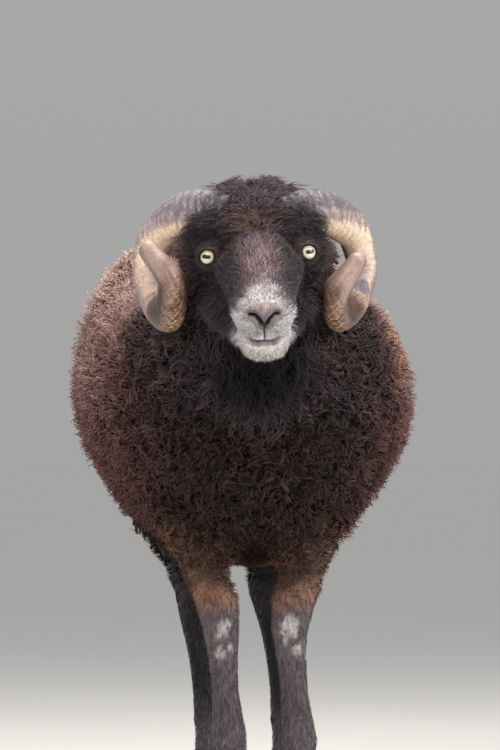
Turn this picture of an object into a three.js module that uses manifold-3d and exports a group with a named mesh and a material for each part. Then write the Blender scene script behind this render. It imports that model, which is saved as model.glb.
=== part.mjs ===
// A small horned ram of the Ouessant kind, life size, standing square with its head raised.
// Units are millimetres. +Z is up, the ram faces -Y, and +X is its own left side.
// The origin is on the floor, under the middle of the model's bounding box.
// Every solid is the outline of the coat, out to the tips of the wool and hair.

import * as THREE from "three";
import { mergeVertices } from "three/addons/utils/BufferGeometryUtils.js";
import Module from "manifold-3d";

const wasm = await Module();
wasm.setup();

// ---------------------------------------------------------------- driving dimensions

const GAP = 0.3; // left between two pieces that meet

const MIDDLE = 72.5; // from the middle of the bounding box forward to the middle of the trunk

const EYES = new THREE.Vector3(-12.5, -355, 492); // point midway between the two eyes
const HEAD_PITCH = 32; // degrees that the line of the face falls below the level
const HEAD_YAW = 2.6; // degrees that the head turns to the ram's right
const HEAD_ROLL = 2.9; // degrees that the head leans, right side down

const EYE_RADIUS = 12;
const EYE_APART = 40.6; // from the mid-plane of the head to the centre of an eyeball

const HORN_FORWARD = -37; // centre of the coils, from EYES
const HORN_START = 62; // degrees round the coil: 0 is forward, 90 is up, 180 is back
// The two horns differ a little. `up` is the height of the coil's centre from EYES, `turn` the degrees from
// root to tip, and each station is [distance from the mid-plane, half thickness], evenly spaced to the tip.
const HORNS = {
  right: {
    up: -2,
    radius: 43.3,
    turn: 312,
    stations: [[23, 19], [65, 20.5], [90, 19.5], [94, 19], [88, 18.5], [79, 17.5], [76.5, 16.5], [97, 12]],
  },
  left: {
    up: -7.8,
    radius: 44.9,
    turn: 294.5,
    stations: [[23, 19], [65, 20.5], [91, 18.5], [96, 16.5], [86, 17.5], [71, 17.5], [68, 16.5], [89, 12]],
  },
};
const HORN_TIP = 9; // length of the blunt end beyond the last station
const HORN_FLATNESS = 0.86; // thickness across the coil over thickness along its radius

const CORONET = 24; // height of the top of the hooves
const CLAW_APART = 9.2; // from the middle of a foot to the middle of each claw

const degrees = THREE.MathUtils.degToRad;

// ---------------------------------------------------------------- making solids

// A three.js geometry as a manifold-3d solid with its faces pointing out.
function solidOf(geometry) {
  const bare = new THREE.BufferGeometry();
  bare.setAttribute("position", geometry.getAttribute("position"));
  bare.setIndex(geometry.getIndex());
  const merged = mergeVertices(bare, 1e-4);
  const vertProperties = new Float32Array(merged.getAttribute("position").array);
  const triVerts = new Uint32Array(merged.getIndex().array);
  const make = () => new wasm.Manifold(new wasm.Mesh({ numProp: 3, vertProperties, triVerts }));
  const made = make();
  if (made.volume() > 0) return made;
  triVerts.reverse();
  return make();
}

function geometryOf(solid) {
  const { numProp, vertProperties, triVerts } = solid.getMesh();
  const place = new Float32Array((vertProperties.length / numProp) * 3);
  for (let i = 0; i * 3 < place.length; i += 1) {
    place.set(vertProperties.subarray(i * numProp, i * numProp + 3), i * 3);
  }
  const geometry = new THREE.BufferGeometry();
  geometry.setAttribute("position", new THREE.BufferAttribute(place, 3));
  geometry.setIndex(new THREE.BufferAttribute(new Uint32Array(triVerts), 1));
  const flat = geometry.toNonIndexed();
  flat.computeVertexNormals();
  return flat;
}

// The largest piece of a solid, without the slivers that a cut can leave.
function mainBody(solid) {
  return solid.decompose().sort((a, b) => b.volume() - a.volume())[0];
}

// The surface through `count` rings of `sides` vertices each, followed by the first and the last tip.
function closedTube(vertices, count, sides) {
  const first = count * sides;
  const last = (count - 1) * sides;
  const triangles = [];
  for (let i = 0; i < sides; i += 1) {
    const next = (i + 1) % sides;
    triangles.push(first, next, i, first + 1, last + i, last + next);
    for (let j = 0; j < count - 1; j += 1) {
      const a = j * sides;
      const b = a + sides;
      triangles.push(a + i, a + next, b + next, a + i, b + next, b + i);
    }
  }
  const geometry = new THREE.BufferGeometry();
  geometry.setAttribute("position", new THREE.Float32BufferAttribute(vertices, 3));
  geometry.setIndex(triangles);
  return geometry;
}

// A closed body along a smooth spine. Each station is [x, y, z, side, top, bottom]: a point of the spine,
// the half width across it, and the sizes from the spine towards `face` and away from it. A `power` above 2
// squares the section and below 2 points it, `above` and `below` the spine, changing from first to last
// station, and a third number above 1 puts most of the change near the last. `domes` are the lengths of the rounded ends, and 0 leaves an end flat.
const ROUND = { above: [2, 2], below: [2, 2] };
const squared = (power) => ({ above: [power, power], below: [power, power] });

function loft(stations, { rings, sides, domes = [0, 0], face = [0, 0, 1], power = ROUND, grow = 0 }) {
  const spine = new THREE.CatmullRomCurve3(stations.map(([x, y, z]) => new THREE.Vector3(x, y, z)));
  const sizes = new THREE.CatmullRomCurve3(
    stations.map(([, , , side, top, bottom]) => new THREE.Vector3(side, top, bottom)),
  );
  const towards = new THREE.Vector3(...face);
  const vertices = [];

  const addRing = (t, ahead, scale) => {
    const along = spine.getTangent(t);
    const across = new THREE.Vector3(1, 0, 0).addScaledVector(along, -along.x).normalize();
    const top = new THREE.Vector3().crossVectors(across, along);
    if (top.dot(towards) < 0) top.negate();
    const centre = spine.getPoint(t).addScaledVector(along, ahead);
    const size = sizes.getPoint(t).addScalar(grow).multiplyScalar(scale);
    for (let i = 0; i < sides; i += 1) {
      const angle = (2 * Math.PI * i) / sides;
      const c = Math.cos(angle);
      const s = Math.sin(angle);
      const [first, second, delay = 1] = s > 0 ? power.above : power.below;
      const bulge = (v) => Math.sign(v) * Math.abs(v) ** (2 / (first + (second - first) * t ** delay));
      const point = centre.clone().addScaledVector(across, size.x * bulge(c));
      point.addScaledVector(top, (s > 0 ? size.y : size.z) * bulge(s));
      vertices.push(...point.toArray());
    }
  };
  const addEnd = (t, sign, dome) => {
    const steps = dome > 0 ? [0.32, 0.62, 0.86] : [];
    const list = steps.map((scale) => [t, sign * (dome + grow) * Math.sqrt(1 - scale * scale), scale]);
    if (sign > 0) list.reverse();
    list.forEach((ring) => addRing(...ring));
    return list.length;
  };

  let count = addEnd(0, -1, domes[0]);
  for (let j = 0; j < rings; j += 1) addRing(j / (rings - 1), 0, 1);
  count += rings + addEnd(1, 1, domes[1]);

  for (const [t, sign, dome] of [[0, -1, domes[0]], [1, 1, domes[1]]]) {
    const reach = dome > 0 ? sign * (dome + grow) : 0;
    const tip = spine.getPoint(t).addScaledVector(spine.getTangent(t), reach);
    vertices.push(...tip.toArray());
  }

  return solidOf(closedTube(vertices, count, sides));
}

function ellipsoid([x, y, z], [rx, ry, rz], around = 16, down = 10) {
  const geometry = new THREE.SphereGeometry(1, around, down);
  geometry.scale(rx, ry, rz);
  geometry.translate(x, y, z);
  return solidOf(geometry);
}

function box([x, y, z], [dx, dy, dz]) {
  const geometry = new THREE.BoxGeometry(dx, dy, dz);
  geometry.translate(x, y, z);
  return solidOf(geometry);
}

// ---------------------------------------------------------------- trunk, neck and tail

// [x, y, z, half width, to the back line, to the belly line], from the breast to the rump, which swings a
// little to the right
const TRUNK_STATIONS = [
  [3, -238, 332, 104, 120, 112],
  [3, -172, 352, 140, 154, 148],
  [2.5, -85, 362, 157, 145, 162],
  [0, 10, 366, 159.5, 139, 166],
  [-3.5, 95, 374, 157, 138, 162],
  [-6, 168, 392, 141, 144, 152],
  [-8, 222, 410, 116, 118, 130],
];
// the section slopes from the back at the shoulders, is square at the rump, and narrows to a keel below
const TRUNK_POWER = { above: [1.84, 3.9, 2.5], below: [1.6, 1.8] };

function trunkSolid(grow = 0) {
  return loft(TRUNK_STATIONS, { rings: 15, sides: 22, domes: [54, 46], power: TRUNK_POWER, grow });
}

// from inside the shoulders up to the nape, sizes to the crest and to the throat
const NECK_STATIONS = [
  [0, -150, 372, 126, 124, 128],
  [-3, -214, 422, 104, 106, 128],
  [-10, -264, 464, 78, 84, 112],
  [-15, -302, 497, 60, 56, 74],
];

function neckSolid(grow = 0) {
  return loft(NECK_STATIONS, { rings: 7, sides: 18, domes: [20, 14], grow });
}

const TAIL_STATIONS = [
  [-8, 232, 470, 27, 22, 18],
  [-8, 266, 440, 31, 24, 20],
  [-8, 283, 392, 29, 21, 20],
  [-8, 283, 345, 20, 15, 16],
];

function tailSolid() {
  return loft(TAIL_STATIONS, { rings: 6, sides: 9, domes: [8, 16], face: [0, 1, 0] });
}

// ---------------------------------------------------------------- legs and feet

// Sizes of a leg are its half width, then from the spine forwards and backwards.
// The knee or hock and the foot have their own distance from the mid-plane.
function foreLegStations(side, knee, foot) {
  const part = (share) => knee + (foot - knee) * share;
  return [
    [side * 80, -146, 350, 50, 58, 60],
    [side * 66, -150, 275, 44, 50, 52],
    [side * 50, -158, 240, 36, 39, 42],
    [side * 38 + knee * 0.15, -168, 214, 29, 31, 34],
    [side * 18 + knee * 0.6, -179, 190, 23, 24, 26],
    [knee, -188, 153, 18, 18.5, 17],
    [part(0.3), -187, 122, 14.2, 14.5, 15],
    [part(0.6), -186, 90, 13.8, 14, 15],
    [foot, -184, 57, 18.2, 17, 19],
    [foot, -195, 37, 17, 15.5, 16],
    [foot, -204, 20, 19.5, 18, 18],
  ];
}

function hindLegStations(side, hock, foot) {
  const part = (share) => hock + (foot - hock) * share;
  return [
    [side * 80, 150, 385, 58, 78, 84],
    [side * 78, 150, 308, 52, 70, 76],
    [side * 48 + hock * 0.15, 158, 245, 38, 50, 54],
    [side * 22 + hock * 0.4, 182, 200, 25, 27, 30],
    [hock, 214, 152, 16.5, 17, 24],
    [part(0.3), 208, 122, 13.5, 14.5, 16],
    [part(0.6), 203, 90, 13, 14, 15],
    [foot, 199, 57, 17, 16, 18.5],
    [foot, 188, 37, 16, 15, 15.5],
    [foot, 179, 20, 18.5, 17.5, 17.5],
  ];
}

// Each leg: its name, the side it is on, and how far its knee or hock and its foot are from the mid-plane.
const LEGS = [
  { name: "foreleg_right", side: -1, fore: true, knee: -33, foot: -26 },
  { name: "foreleg_left", side: 1, fore: true, knee: 30, foot: 38 },
  { name: "hindleg_right", side: -1, fore: false, knee: -29, foot: -16 },
  { name: "hindleg_left", side: 1, fore: false, knee: 48, foot: 60 },
];

function legSolid({ side, fore, knee, foot }, grow = 0) {
  const stations = fore ? foreLegStations(side, knee, foot) : hindLegStations(side, knee, foot);
  const shape = { rings: 17, sides: 10, domes: [30, 4], face: [0, -1, 0], power: squared(2.15), grow };
  const whole = loft(stations, shape);
  const below = box([foot, stations.at(-1)[1], 0], [90, 90, 2 * (CORONET + GAP)]);
  return whole.subtract(below);
}

// ---------------------------------------------------------------- parting the body

// The trunk, neck and legs are one body, parted by thin flat cuts:
// the neck where it leaves the shoulders, and each leg below the trunk, above the knee and at the fetlock.
const NECK_CUT = { y: -222, z: 428, slope: 50 };
// hip cuts: height on the mid-plane, and slopes up towards the side and towards the rump
const HIP_CUTS = {
  fore: { y: -165, depth: 130, height: 188, side: 26, rump: 0 },
  hind: { y: 175, depth: 150, height: 231, side: 14, rump: 18 },
};
const LEG_CUTS = { knee: 177, fetlock: 46 };

// A thin slab, turned about X and then about Y by these degrees, centred at a point.
function slab([x, y, z], [dx, dy], tiltX, tiltY) {
  const geometry = new THREE.BoxGeometry(dx, dy, GAP);
  geometry.rotateX(degrees(tiltX));
  geometry.rotateY(degrees(tiltY));
  geometry.translate(x, y, z);
  return solidOf(geometry);
}

function partBody(neck) {
  let body = trunkSolid().add(neck);
  for (const leg of LEGS) body = body.add(legSolid(leg));
  body = body.subtract(slab([0, NECK_CUT.y, NECK_CUT.z], [400, 300], NECK_CUT.slope, 0));
  for (const { side, fore, foot } of LEGS) {
    const hip = fore ? HIP_CUTS.fore : HIP_CUTS.hind;
    const rise = 60 * Math.tan(degrees(hip.side));
    const centre = [side * 60, hip.y, hip.height + rise];
    body = body.subtract(slab(centre, [150, hip.depth], hip.rump, -side * hip.side));
    for (const level of Object.values(LEG_CUTS)) {
      body = body.subtract(slab([foot, hip.y, level], [90, 240], 0, 0));
    }
  }

  const parts = {};
  for (const part of body.decompose()) {
    const { min, max } = part.boundingBox();
    const [x, y, z] = min.map((v, i) => (v + max[i]) / 2);
    if (part.volume() < 1) continue;
    if (max[2] - min[2] > 250) parts.trunk = part;
    else if (z > 350) parts.neck = part;
    else {
      const leg = `${y < 0 ? "fore" : "hind"}leg_${x < 10 ? "right" : "left"}`;
      const level = z > LEG_CUTS.knee ? "upper" : z > LEG_CUTS.fetlock ? "cannon" : "pastern";
      parts[`${leg}_${level}`] = part;
    }
  }
  return parts;
}

// ---------------------------------------------------------------- feet

const CLAW = { length: 41, width: 16.4, toeSlope: 12, heel: 15 };

// One claw of a cloven hoof, its sole at z = 0 and the coronet above it at the group's origin.
function clawSolid(inward) {
  const { length, width, toeSlope, heel } = CLAW;
  const station = (z, thickness, half) => {
    const share = z / CORONET;
    return [inward * 0.6 * share, toeSlope * (share - 1), z, thickness, half, half - 3 * (1 - share)];
  };
  const stations = [
    station(-CORONET * 0.6, width / 2, length / 2 + 1),
    station(0, width / 2, length / 2),
    station(CORONET * 0.5, width / 2, length / 2 - 3),
    station(CORONET * 1.5, width / 2 - 1, length / 2 - 7),
  ];
  const whole = loft(stations, { rings: 4, sides: 10, face: [0, -1, 0], power: squared(1.8) });
  const heelSlope = new THREE.BoxGeometry(40, 40, 40);
  heelSlope.rotateX(degrees(-24));
  heelSlope.translate(0, length / 2 + 15, heel + 24);
  const level = box([0, 0, CORONET / 2], [80, 120, CORONET]);
  return whole.subtract(solidOf(heelSlope)).intersect(level);
}

function dewclawSolid() {
  const stations = [
    [0, -5, 5, 4.6, 4.6, 4.6],
    [0, 1, 0, 4.8, 4.4, 4.4],
    [0, 4.5, -6, 3, 2.6, 2.6],
  ];
  return loft(stations, { rings: 3, sides: 6, face: [0, 1, 0] });
}

// ---------------------------------------------------------------- head

// In the frame of the face the origin is EYES, -Y runs down the nose and +Z is away from the jaw.
// [forward, up, half width, to the forehead, to the jaw]
const SKULL_STATIONS = [
  [-76, -4, 44, 28, 50],
  [-50, -2, 57, 33, 58],
  [-24, -1, 61, 34, 58],
  [3, 0, 43.5, 24, 48],
  [36, 0, 36.5, 21, 37],
  [70, 0, 29.5, 17, 31],
  [97, -3, 27.5, 13.5, 28],
];
const SKULL_POWER = { above: [2.5, 1.9], below: [2.1, 2.3] };
const JAW_STATIONS = [
  [-44, -38, 52, 32, 34],
  [-5, -38, 54, 30, 31],
  [34, -37, 47, 24, 24],
  [68, -39, 29, 18, 14],
  [96, -40, 21, 15, 10.5],
];

const alongFace = ([forward, up, ...sizes]) => [0, -forward, up, ...sizes];

function skullSolid(grow = 0) {
  return loft(SKULL_STATIONS.map(alongFace), { rings: 13, sides: 18, domes: [20, 11], power: SKULL_POWER, grow });
}

function jawSolid(grow = 0) {
  return loft(JAW_STATIONS.map(alongFace), { rings: 8, sides: 14, domes: [18, 10], power: squared(2.1), grow });
}

const eyePlace = (side) => [side * EYE_APART, -2, 0];

function orbitSolid(side) {
  return ellipsoid([side * 31, 1, 2], [17.5, 20, 17], 12, 8);
}

function topknotSolid(grow = 0) {
  return ellipsoid([0, 46, 17], [39 + grow, 39 + grow, 24 + grow], 16, 10);
}

// A slit that runs up and out from the foot of the nose pad.
function nostrilSolid(side) {
  const stations = [
    [side * 2.8, -110, -10, 1.8, 3, 3],
    [side * 6.5, -108.5, -2, 2.4, 3.5, 3.5],
    [side * 12, -105, 1.5, 2.2, 3, 3],
  ];
  return loft(stations, { rings: 4, sides: 6, domes: [3, 4], face: [0, -1, 0] });
}

// Ears pass outwards and back through the coils of the horns.
// [distance from the mid-plane, back, up, half thickness, half width, half width], root to tip
const EARS = {
  right: { side: -1, height: 1, spread: 0.66, back: 0.4, rise: -0.52, length: 46 },
  left: { side: 1, height: -10, spread: 0.55, back: 0.4, rise: -0.62, length: 42 },
};

function earSolid({ side, height, spread, back, rise, length }, grow = 0) {
  const root = new THREE.Vector3(side * 45, 35, height);
  const along = new THREE.Vector3(side * spread, back, rise).normalize();
  const widths = [8, 11, 13.5, 12, 6.5];
  const flatness = [0.9, 0.55, 0.34, 0.32, 0.5];
  const stations = widths.map((width, i) => {
    const place = root.clone().addScaledVector(along, (length * i) / (widths.length - 1));
    return [...place.toArray(), width, width * flatness[i], width * flatness[i]];
  });
  return loftAcross(stations, along, { rings: 6, sides: 9, domes: [4, 6], grow });
}

// As loft, but with the width of the section standing upright, for a blade such as an ear.
function loftAcross(stations, along, options) {
  const upright = new THREE.Vector3(0, 0, 1).addScaledVector(along, -along.z).normalize();
  const flat = new THREE.Vector3().crossVectors(along, upright);
  const turn = new THREE.Matrix4().makeBasis(upright, along, flat);
  const back = turn.clone().invert();
  const turned = stations.map(([x, y, z, ...sizes]) => {
    const place = new THREE.Vector3(x, y, z).applyMatrix4(back);
    return [...place.toArray(), ...sizes];
  });
  return loft(turned, options).transform(turn.elements);
}

// The horns are modelled level, in the frame of the head before its face is pitched down.
function hornSolid(name, grow = 0) {
  const side = name === "right" ? -1 : 1;
  const { up, radius, turn, stations } = HORNS[name];
  const reach = new THREE.CatmullRomCurve3(
    stations.map(([distance, thickness]) => new THREE.Vector3(distance, thickness, 0)),
  );
  const coil = new THREE.Vector3(0, -HORN_FORWARD, up);
  const points = [];
  const steps = 24;
  for (let i = 0; i <= steps; i += 1) {
    const t = i / steps;
    const angle = degrees(HORN_START + turn * t);
    const place = new THREE.Vector3(0, -Math.cos(angle), Math.sin(angle)).multiplyScalar(radius).add(coil);
    points.push(place.setX(side * reach.getPoint(t).x));
  }
  const spine = new THREE.CatmullRomCurve3(points);
  const rings = 25;
  const sides = 12;
  const vertices = [];
  const addRing = (t, ahead, scale) => {
    const place = spine.getPoint(t);
    const along = spine.getTangent(t);
    const outward = place.clone().sub(coil).setX(0);
    outward.addScaledVector(along, -outward.dot(along)).normalize();
    const across = new THREE.Vector3().crossVectors(along, outward);
    place.addScaledVector(along, ahead);
    const size = (reach.getPoint(t).y + grow) * scale;
    for (let k = 0; k < sides; k += 1) {
      const a = (2 * Math.PI * k) / sides;
      const point = place.clone().addScaledVector(outward, size * Math.cos(a));
      point.addScaledVector(across, size * HORN_FLATNESS * Math.sin(a));
      vertices.push(...point.toArray());
    }
  };
  for (let j = 0; j < rings; j += 1) addRing(j / (rings - 1), 0, 1);
  for (const scale of [0.84, 0.5]) addRing(1, HORN_TIP * Math.sqrt(1 - scale * scale), scale);
  const tip = spine.getPoint(1).addScaledVector(spine.getTangent(1), HORN_TIP + grow);
  vertices.push(...spine.getPoint(0).toArray(), ...tip.toArray());
  return solidOf(closedTube(vertices, rings + 2, sides));
}

// ---------------------------------------------------------------- materials

const wool = new THREE.MeshStandardMaterial({ color: 0x2f211c, roughness: 0.95 });
const darkHair = new THREE.MeshStandardMaterial({ color: 0x1f1a1a, roughness: 0.85 });
const paleHair = new THREE.MeshStandardMaterial({ color: 0xa9a39f, roughness: 0.85 });
const horn = new THREE.MeshStandardMaterial({ color: 0x8f7458, roughness: 0.55 });
const hoof = new THREE.MeshStandardMaterial({ color: 0x2a2522, roughness: 0.5 });
const iris = new THREE.MeshStandardMaterial({ color: 0xd9c48c, roughness: 0.1 });

function piece(name, solid, material) {
  const mesh = new THREE.Mesh(geometryOf(solid), material);
  mesh.name = name;
  return mesh;
}

// ---------------------------------------------------------------- the ram

const ram = new THREE.Group();

// The head turns and leans as one; the face is pitched inside it, and the horns are not.
const head = new THREE.Group();
head.position.copy(EYES);
head.rotation.set(0, degrees(-HEAD_ROLL), degrees(-HEAD_YAW), "ZYX");
const face = new THREE.Group();
face.rotation.x = degrees(HEAD_PITCH);
head.add(face);
ram.add(head);
ram.updateMatrixWorld(true);

const toFace = face.matrix.clone().invert();
const inRam = (solid, group) => solid.transform(group.matrixWorld.elements);

function headParts() {
  let skull = skullSolid();
  const parts = {};
  for (const side of [-1, 1]) skull = skull.add(orbitSolid(side));
  const earCutter = skullSolid(GAP).add(jawSolid(GAP));
  const eyeSocket = (side) => ellipsoid(eyePlace(side), Array(3).fill(EYE_RADIUS + GAP), 12, 8);
  for (const [name, side] of [["right", -1], ["left", 1]]) {
    parts[`horn_${name}`] = hornSolid(name).transform(toFace.elements);
    skull = skull.subtract(eyeSocket(side)).subtract(nostrilSolid(side));
    const grownHorn = hornSolid(name, GAP).transform(toFace.elements);
    parts[`ear_${name}`] = mainBody(earSolid(EARS[name]).subtract(earCutter).subtract(grownHorn));
  }
  parts.skull = skull;
  return parts;
}

const made = headParts();
const grownSkull = skullSolid(GAP);
const grownTopknot = topknotSolid(GAP);
const skullShape = skullSolid();
face.add(piece("head", mainBody(made.skull), darkHair));
face.add(piece("lower_jaw", mainBody(jawSolid().subtract(grownSkull)), paleHair));
const topknot = mainBody(topknotSolid().subtract(grownSkull));

for (const name of ["right", "left"]) {
  const side = name === "right" ? -1 : 1;
  const whole = made[`horn_${name}`];
  const outside = mainBody(whole.subtract(grownSkull).subtract(grownTopknot));
  face.add(piece(`horn_${name}`, outside, horn));
  face.add(piece(`ear_${name}`, made[`ear_${name}`], darkHair));
  const eye = new THREE.Mesh(new THREE.SphereGeometry(EYE_RADIUS, 12, 8), iris);
  eye.name = `eye_${name}`;
  eye.position.set(...eyePlace(side));
  face.add(eye);
}
face.add(piece("topknot", topknot, wool));

ram.add(piece("tail", mainBody(tailSolid().subtract(trunkSolid(GAP))), wool));

const earsAsOne = earSolid(EARS.right, GAP).add(earSolid(EARS.left, GAP));
const headAsOne = skullSolid(GAP).add(jawSolid(GAP)).add(topknotSolid(GAP)).add(earsAsOne);
const hornsAsOne = hornSolid("right", GAP).add(hornSolid("left", GAP));
const neck = neckSolid().subtract(inRam(headAsOne, face)).subtract(inRam(hornsAsOne, head));
const parts = partBody(mainBody(neck));
ram.add(piece("trunk", parts.trunk, wool));
ram.add(piece("neck", parts.neck, wool));

for (const leg of LEGS) {
  ram.add(piece(`${leg.name}_upper`, parts[`${leg.name}_upper`], wool));
  ram.add(piece(`${leg.name}_cannon`, parts[`${leg.name}_cannon`], darkHair));
  ram.add(piece(`${leg.name}_pastern`, parts[`${leg.name}_pastern`], darkHair));

  const foot = new THREE.Group();
  foot.position.set(leg.foot, leg.fore ? -200 : 183, 0);
  for (const [name, out] of [["inner", -leg.side], ["outer", leg.side]]) {
    const claw = piece(`${leg.name}_claw_${name}`, clawSolid(-out), hoof);
    claw.position.x = out * CLAW_APART;
    foot.add(claw);
    const dewclaw = dewclawSolid().translate([leg.foot + out * 10, leg.fore ? -163 : 219, 51]);
    ram.add(piece(`${leg.name}_dewclaw_${name}`, mainBody(dewclaw.subtract(legSolid(leg, GAP))), hoof));
  }
  ram.add(foot);
}

ram.position.y = MIDDLE;

export default ram;
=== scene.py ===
"""A small horned ram with a dark, sun-bleached fleece, life size, as a museum's still model.

One skin is made from the solids of flesh, set in by the depth of the coat. Wool and hair stand on it as
solid tapering strands. The horns and eyes are modelled again in detail over their own solids.
Sizes inside this file are in millimetres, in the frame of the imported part: +Z up, the ram facing -Y.
"""

import math

import bmesh
import bpy
import numpy as np
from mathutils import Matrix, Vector
from mathutils.bvhtree import BVHTree
from mathutils.kdtree import KDTree


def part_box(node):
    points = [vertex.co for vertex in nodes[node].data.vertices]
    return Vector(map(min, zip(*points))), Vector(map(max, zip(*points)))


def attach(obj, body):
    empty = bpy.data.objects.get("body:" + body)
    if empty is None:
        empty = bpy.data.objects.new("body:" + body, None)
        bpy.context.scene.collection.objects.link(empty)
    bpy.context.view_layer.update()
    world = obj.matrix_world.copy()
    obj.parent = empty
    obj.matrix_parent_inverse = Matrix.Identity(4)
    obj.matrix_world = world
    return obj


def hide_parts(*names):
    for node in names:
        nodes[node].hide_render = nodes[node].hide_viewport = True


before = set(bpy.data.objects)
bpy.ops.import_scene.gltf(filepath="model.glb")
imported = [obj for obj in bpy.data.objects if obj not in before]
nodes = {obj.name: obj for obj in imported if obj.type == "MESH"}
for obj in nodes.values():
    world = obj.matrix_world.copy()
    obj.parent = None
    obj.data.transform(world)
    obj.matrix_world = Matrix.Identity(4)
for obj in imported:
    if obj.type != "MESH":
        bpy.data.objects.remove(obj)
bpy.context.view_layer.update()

MM = 0.001
FULL_TURN = 2 * math.pi

# ---------------------------------------------------------------- small tools


def unit(vectors):
    vectors = np.asarray(vectors, float)
    return vectors / np.maximum(np.linalg.norm(vectors, axis=-1, keepdims=True), 1e-9)


def step(low, high, value):
    """0 below low, 1 above high, and smooth between them. low may be the greater."""
    share = np.clip((value - low) / (high - low), 0, 1)
    return share * share * (3 - 2 * share)


def mound(value, centre, width):
    return np.exp(-(((value - centre) / width) ** 2))


def drift(points, size, seed):
    """Smooth noise, about -1 to 1, that changes over about `size`."""
    random = np.random.default_rng(seed)
    total = np.zeros(len(points))
    for _ in range(8):
        way = unit(random.normal(size=3)) * (FULL_TURN / size) * random.uniform(0.6, 1.5)
        total += np.cos(points @ way + random.uniform(0, FULL_TURN))
    return total / 3.4


def linear(colour):
    """An sRGB hex colour as linear light."""
    value = np.array([int(colour[i : i + 2], 16) / 255 for i in (1, 3, 5)])
    return np.where(value <= 0.04045, value / 12.92, ((value + 0.055) / 1.055) ** 2.4)


def layered(base, *layers):
    """A colour with others laid over it in turn. Each is [colour, its share at every point]."""
    for over, share in layers:
        base = base + (over - base) * np.clip(share, 0, 1)[:, None]
    return base


def across_surface(vectors, normals):
    """The part of each vector that lies along the surface, as a unit vector."""
    return unit(vectors - normals * np.sum(vectors * normals, axis=1, keepdims=True))


def min_distance(points, places):
    return np.min([np.linalg.norm(points - p, axis=1) for p in places], axis=0)


# ---------------------------------------------------------------- the frame of the head

SIDES = {"right": -1, "left": 1}
EYE_RADIUS = 12.0
FACE_PITCH = math.radians(32)  # how far the line of the face falls below the level


def centre_of(node):
    low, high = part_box(node)
    return np.array((low + high) / 2) / MM


eye_centre = {name: centre_of(f"eye_{name}") for name in SIDES}
BROW = (eye_centre["right"] + eye_centre["left"]) / 2  # midway between the eyes
LEFTWARD = unit(eye_centre["left"] - eye_centre["right"])
BACKWARD = unit(np.cross((0, 0, 1), LEFTWARD))
CROWNWARD = np.cross(LEFTWARD, BACKWARD)
DOWN_NOSE = -(BACKWARD * math.cos(FACE_PITCH) + CROWNWARD * math.sin(FACE_PITCH))
OFF_FACE = CROWNWARD * math.cos(FACE_PITCH) - BACKWARD * math.sin(FACE_PITCH)
FACE_AXES = np.array([LEFTWARD, DOWN_NOSE, OFF_FACE])
DOWN = np.array([0.0, 0.0, -1.0])


def to_face(points):
    """[distance to the ram's left, down the nose from the brow, away from the jaw]"""
    return (points - BROW) @ FACE_AXES.T


def from_face(places):
    return np.asarray(places, float) @ FACE_AXES + BROW


def from_eyes(points):
    return min_distance(points, list(eye_centre.values()))


# ---------------------------------------------------------------- reading and making meshes


def coordinates(mesh):
    place = np.empty(len(mesh.vertices) * 3)
    mesh.vertices.foreach_get("co", place)
    return place.reshape(-1, 3) / MM


def moved(mesh, points):
    """Sets the vertices and gives the points back."""
    mesh.vertices.foreach_set("co", (points * MM).ravel())
    mesh.update()
    return points


def normals_of(mesh):
    normal = np.empty(len(mesh.vertices) * 3)
    mesh.vertices.foreach_get("normal", normal)
    return normal.reshape(-1, 3)


def edges_of(mesh):
    ends = np.empty(len(mesh.edges) * 2, np.int64)
    mesh.edges.foreach_get("vertices", ends)
    return ends.reshape(-1, 2)


def neighbour_mean(values, edges):
    """The mean of each vertex's neighbours."""
    count = len(values)
    a, b = edges.T
    heads, tails = np.concatenate([a, b]), np.concatenate([b, a])
    share = 1 / np.maximum(np.bincount(heads, minlength=count), 1)
    columns = values.reshape(count, -1)[tails]
    total = [np.bincount(heads, columns[:, i], count) * share for i in range(columns.shape[1])]
    return np.stack(total, axis=1).reshape(values.shape)


def relaxed(values, edges, rounds, strength=0.5, hold=0.0):
    """Smoothed over the mesh. `hold` above 0 puts back what smoothing shrinks."""
    for _ in range(rounds):
        for share in (strength, -hold) if hold else (strength,):
            amount = share if np.ndim(share) == 0 or values.ndim == 1 else share[:, None]
            values = values + amount * (neighbour_mean(values, edges) - values)
    return values


def link_mesh(name, mesh):
    made = bpy.data.objects.new(name, mesh)
    bpy.context.scene.collection.objects.link(made)
    return made


def paint(mesh, colours):
    """Colours kept on the vertices for a material to read."""
    rgba = np.concatenate([colours, np.ones((len(colours), 1))], axis=1)
    layer = mesh.color_attributes.new("coat_colour", "FLOAT_COLOR", "POINT")
    layer.data.foreach_set("color", rgba.ravel())


def new_piece(name, points, corners, colours=None, patches=None):
    """A mesh piece from points in millimetres and triangles or quads (a list of arrays)."""
    mesh = bpy.data.meshes.new(name)
    flat = np.concatenate([c.ravel() for c in corners])
    sizes = np.concatenate([np.full(len(c), c.shape[1]) for c in corners])
    mesh.vertices.add(len(points))
    mesh.loops.add(len(flat))
    mesh.polygons.add(len(sizes))
    mesh.vertices.foreach_set("co", (points * MM).ravel())
    mesh.loops.foreach_set("vertex_index", flat)
    mesh.polygons.foreach_set("loop_start", np.concatenate([[0], np.cumsum(sizes)[:-1]]))
    mesh.update(calc_edges=True)
    mesh.polygons.foreach_set("use_smooth", np.ones(len(sizes), bool))
    if colours is not None:
        paint(mesh, colours)
    if patches is not None:
        mesh.uv_layers.new(name="OFBake").uv.foreach_set("vector", patches[flat].ravel())
    return link_mesh(name, mesh)


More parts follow.
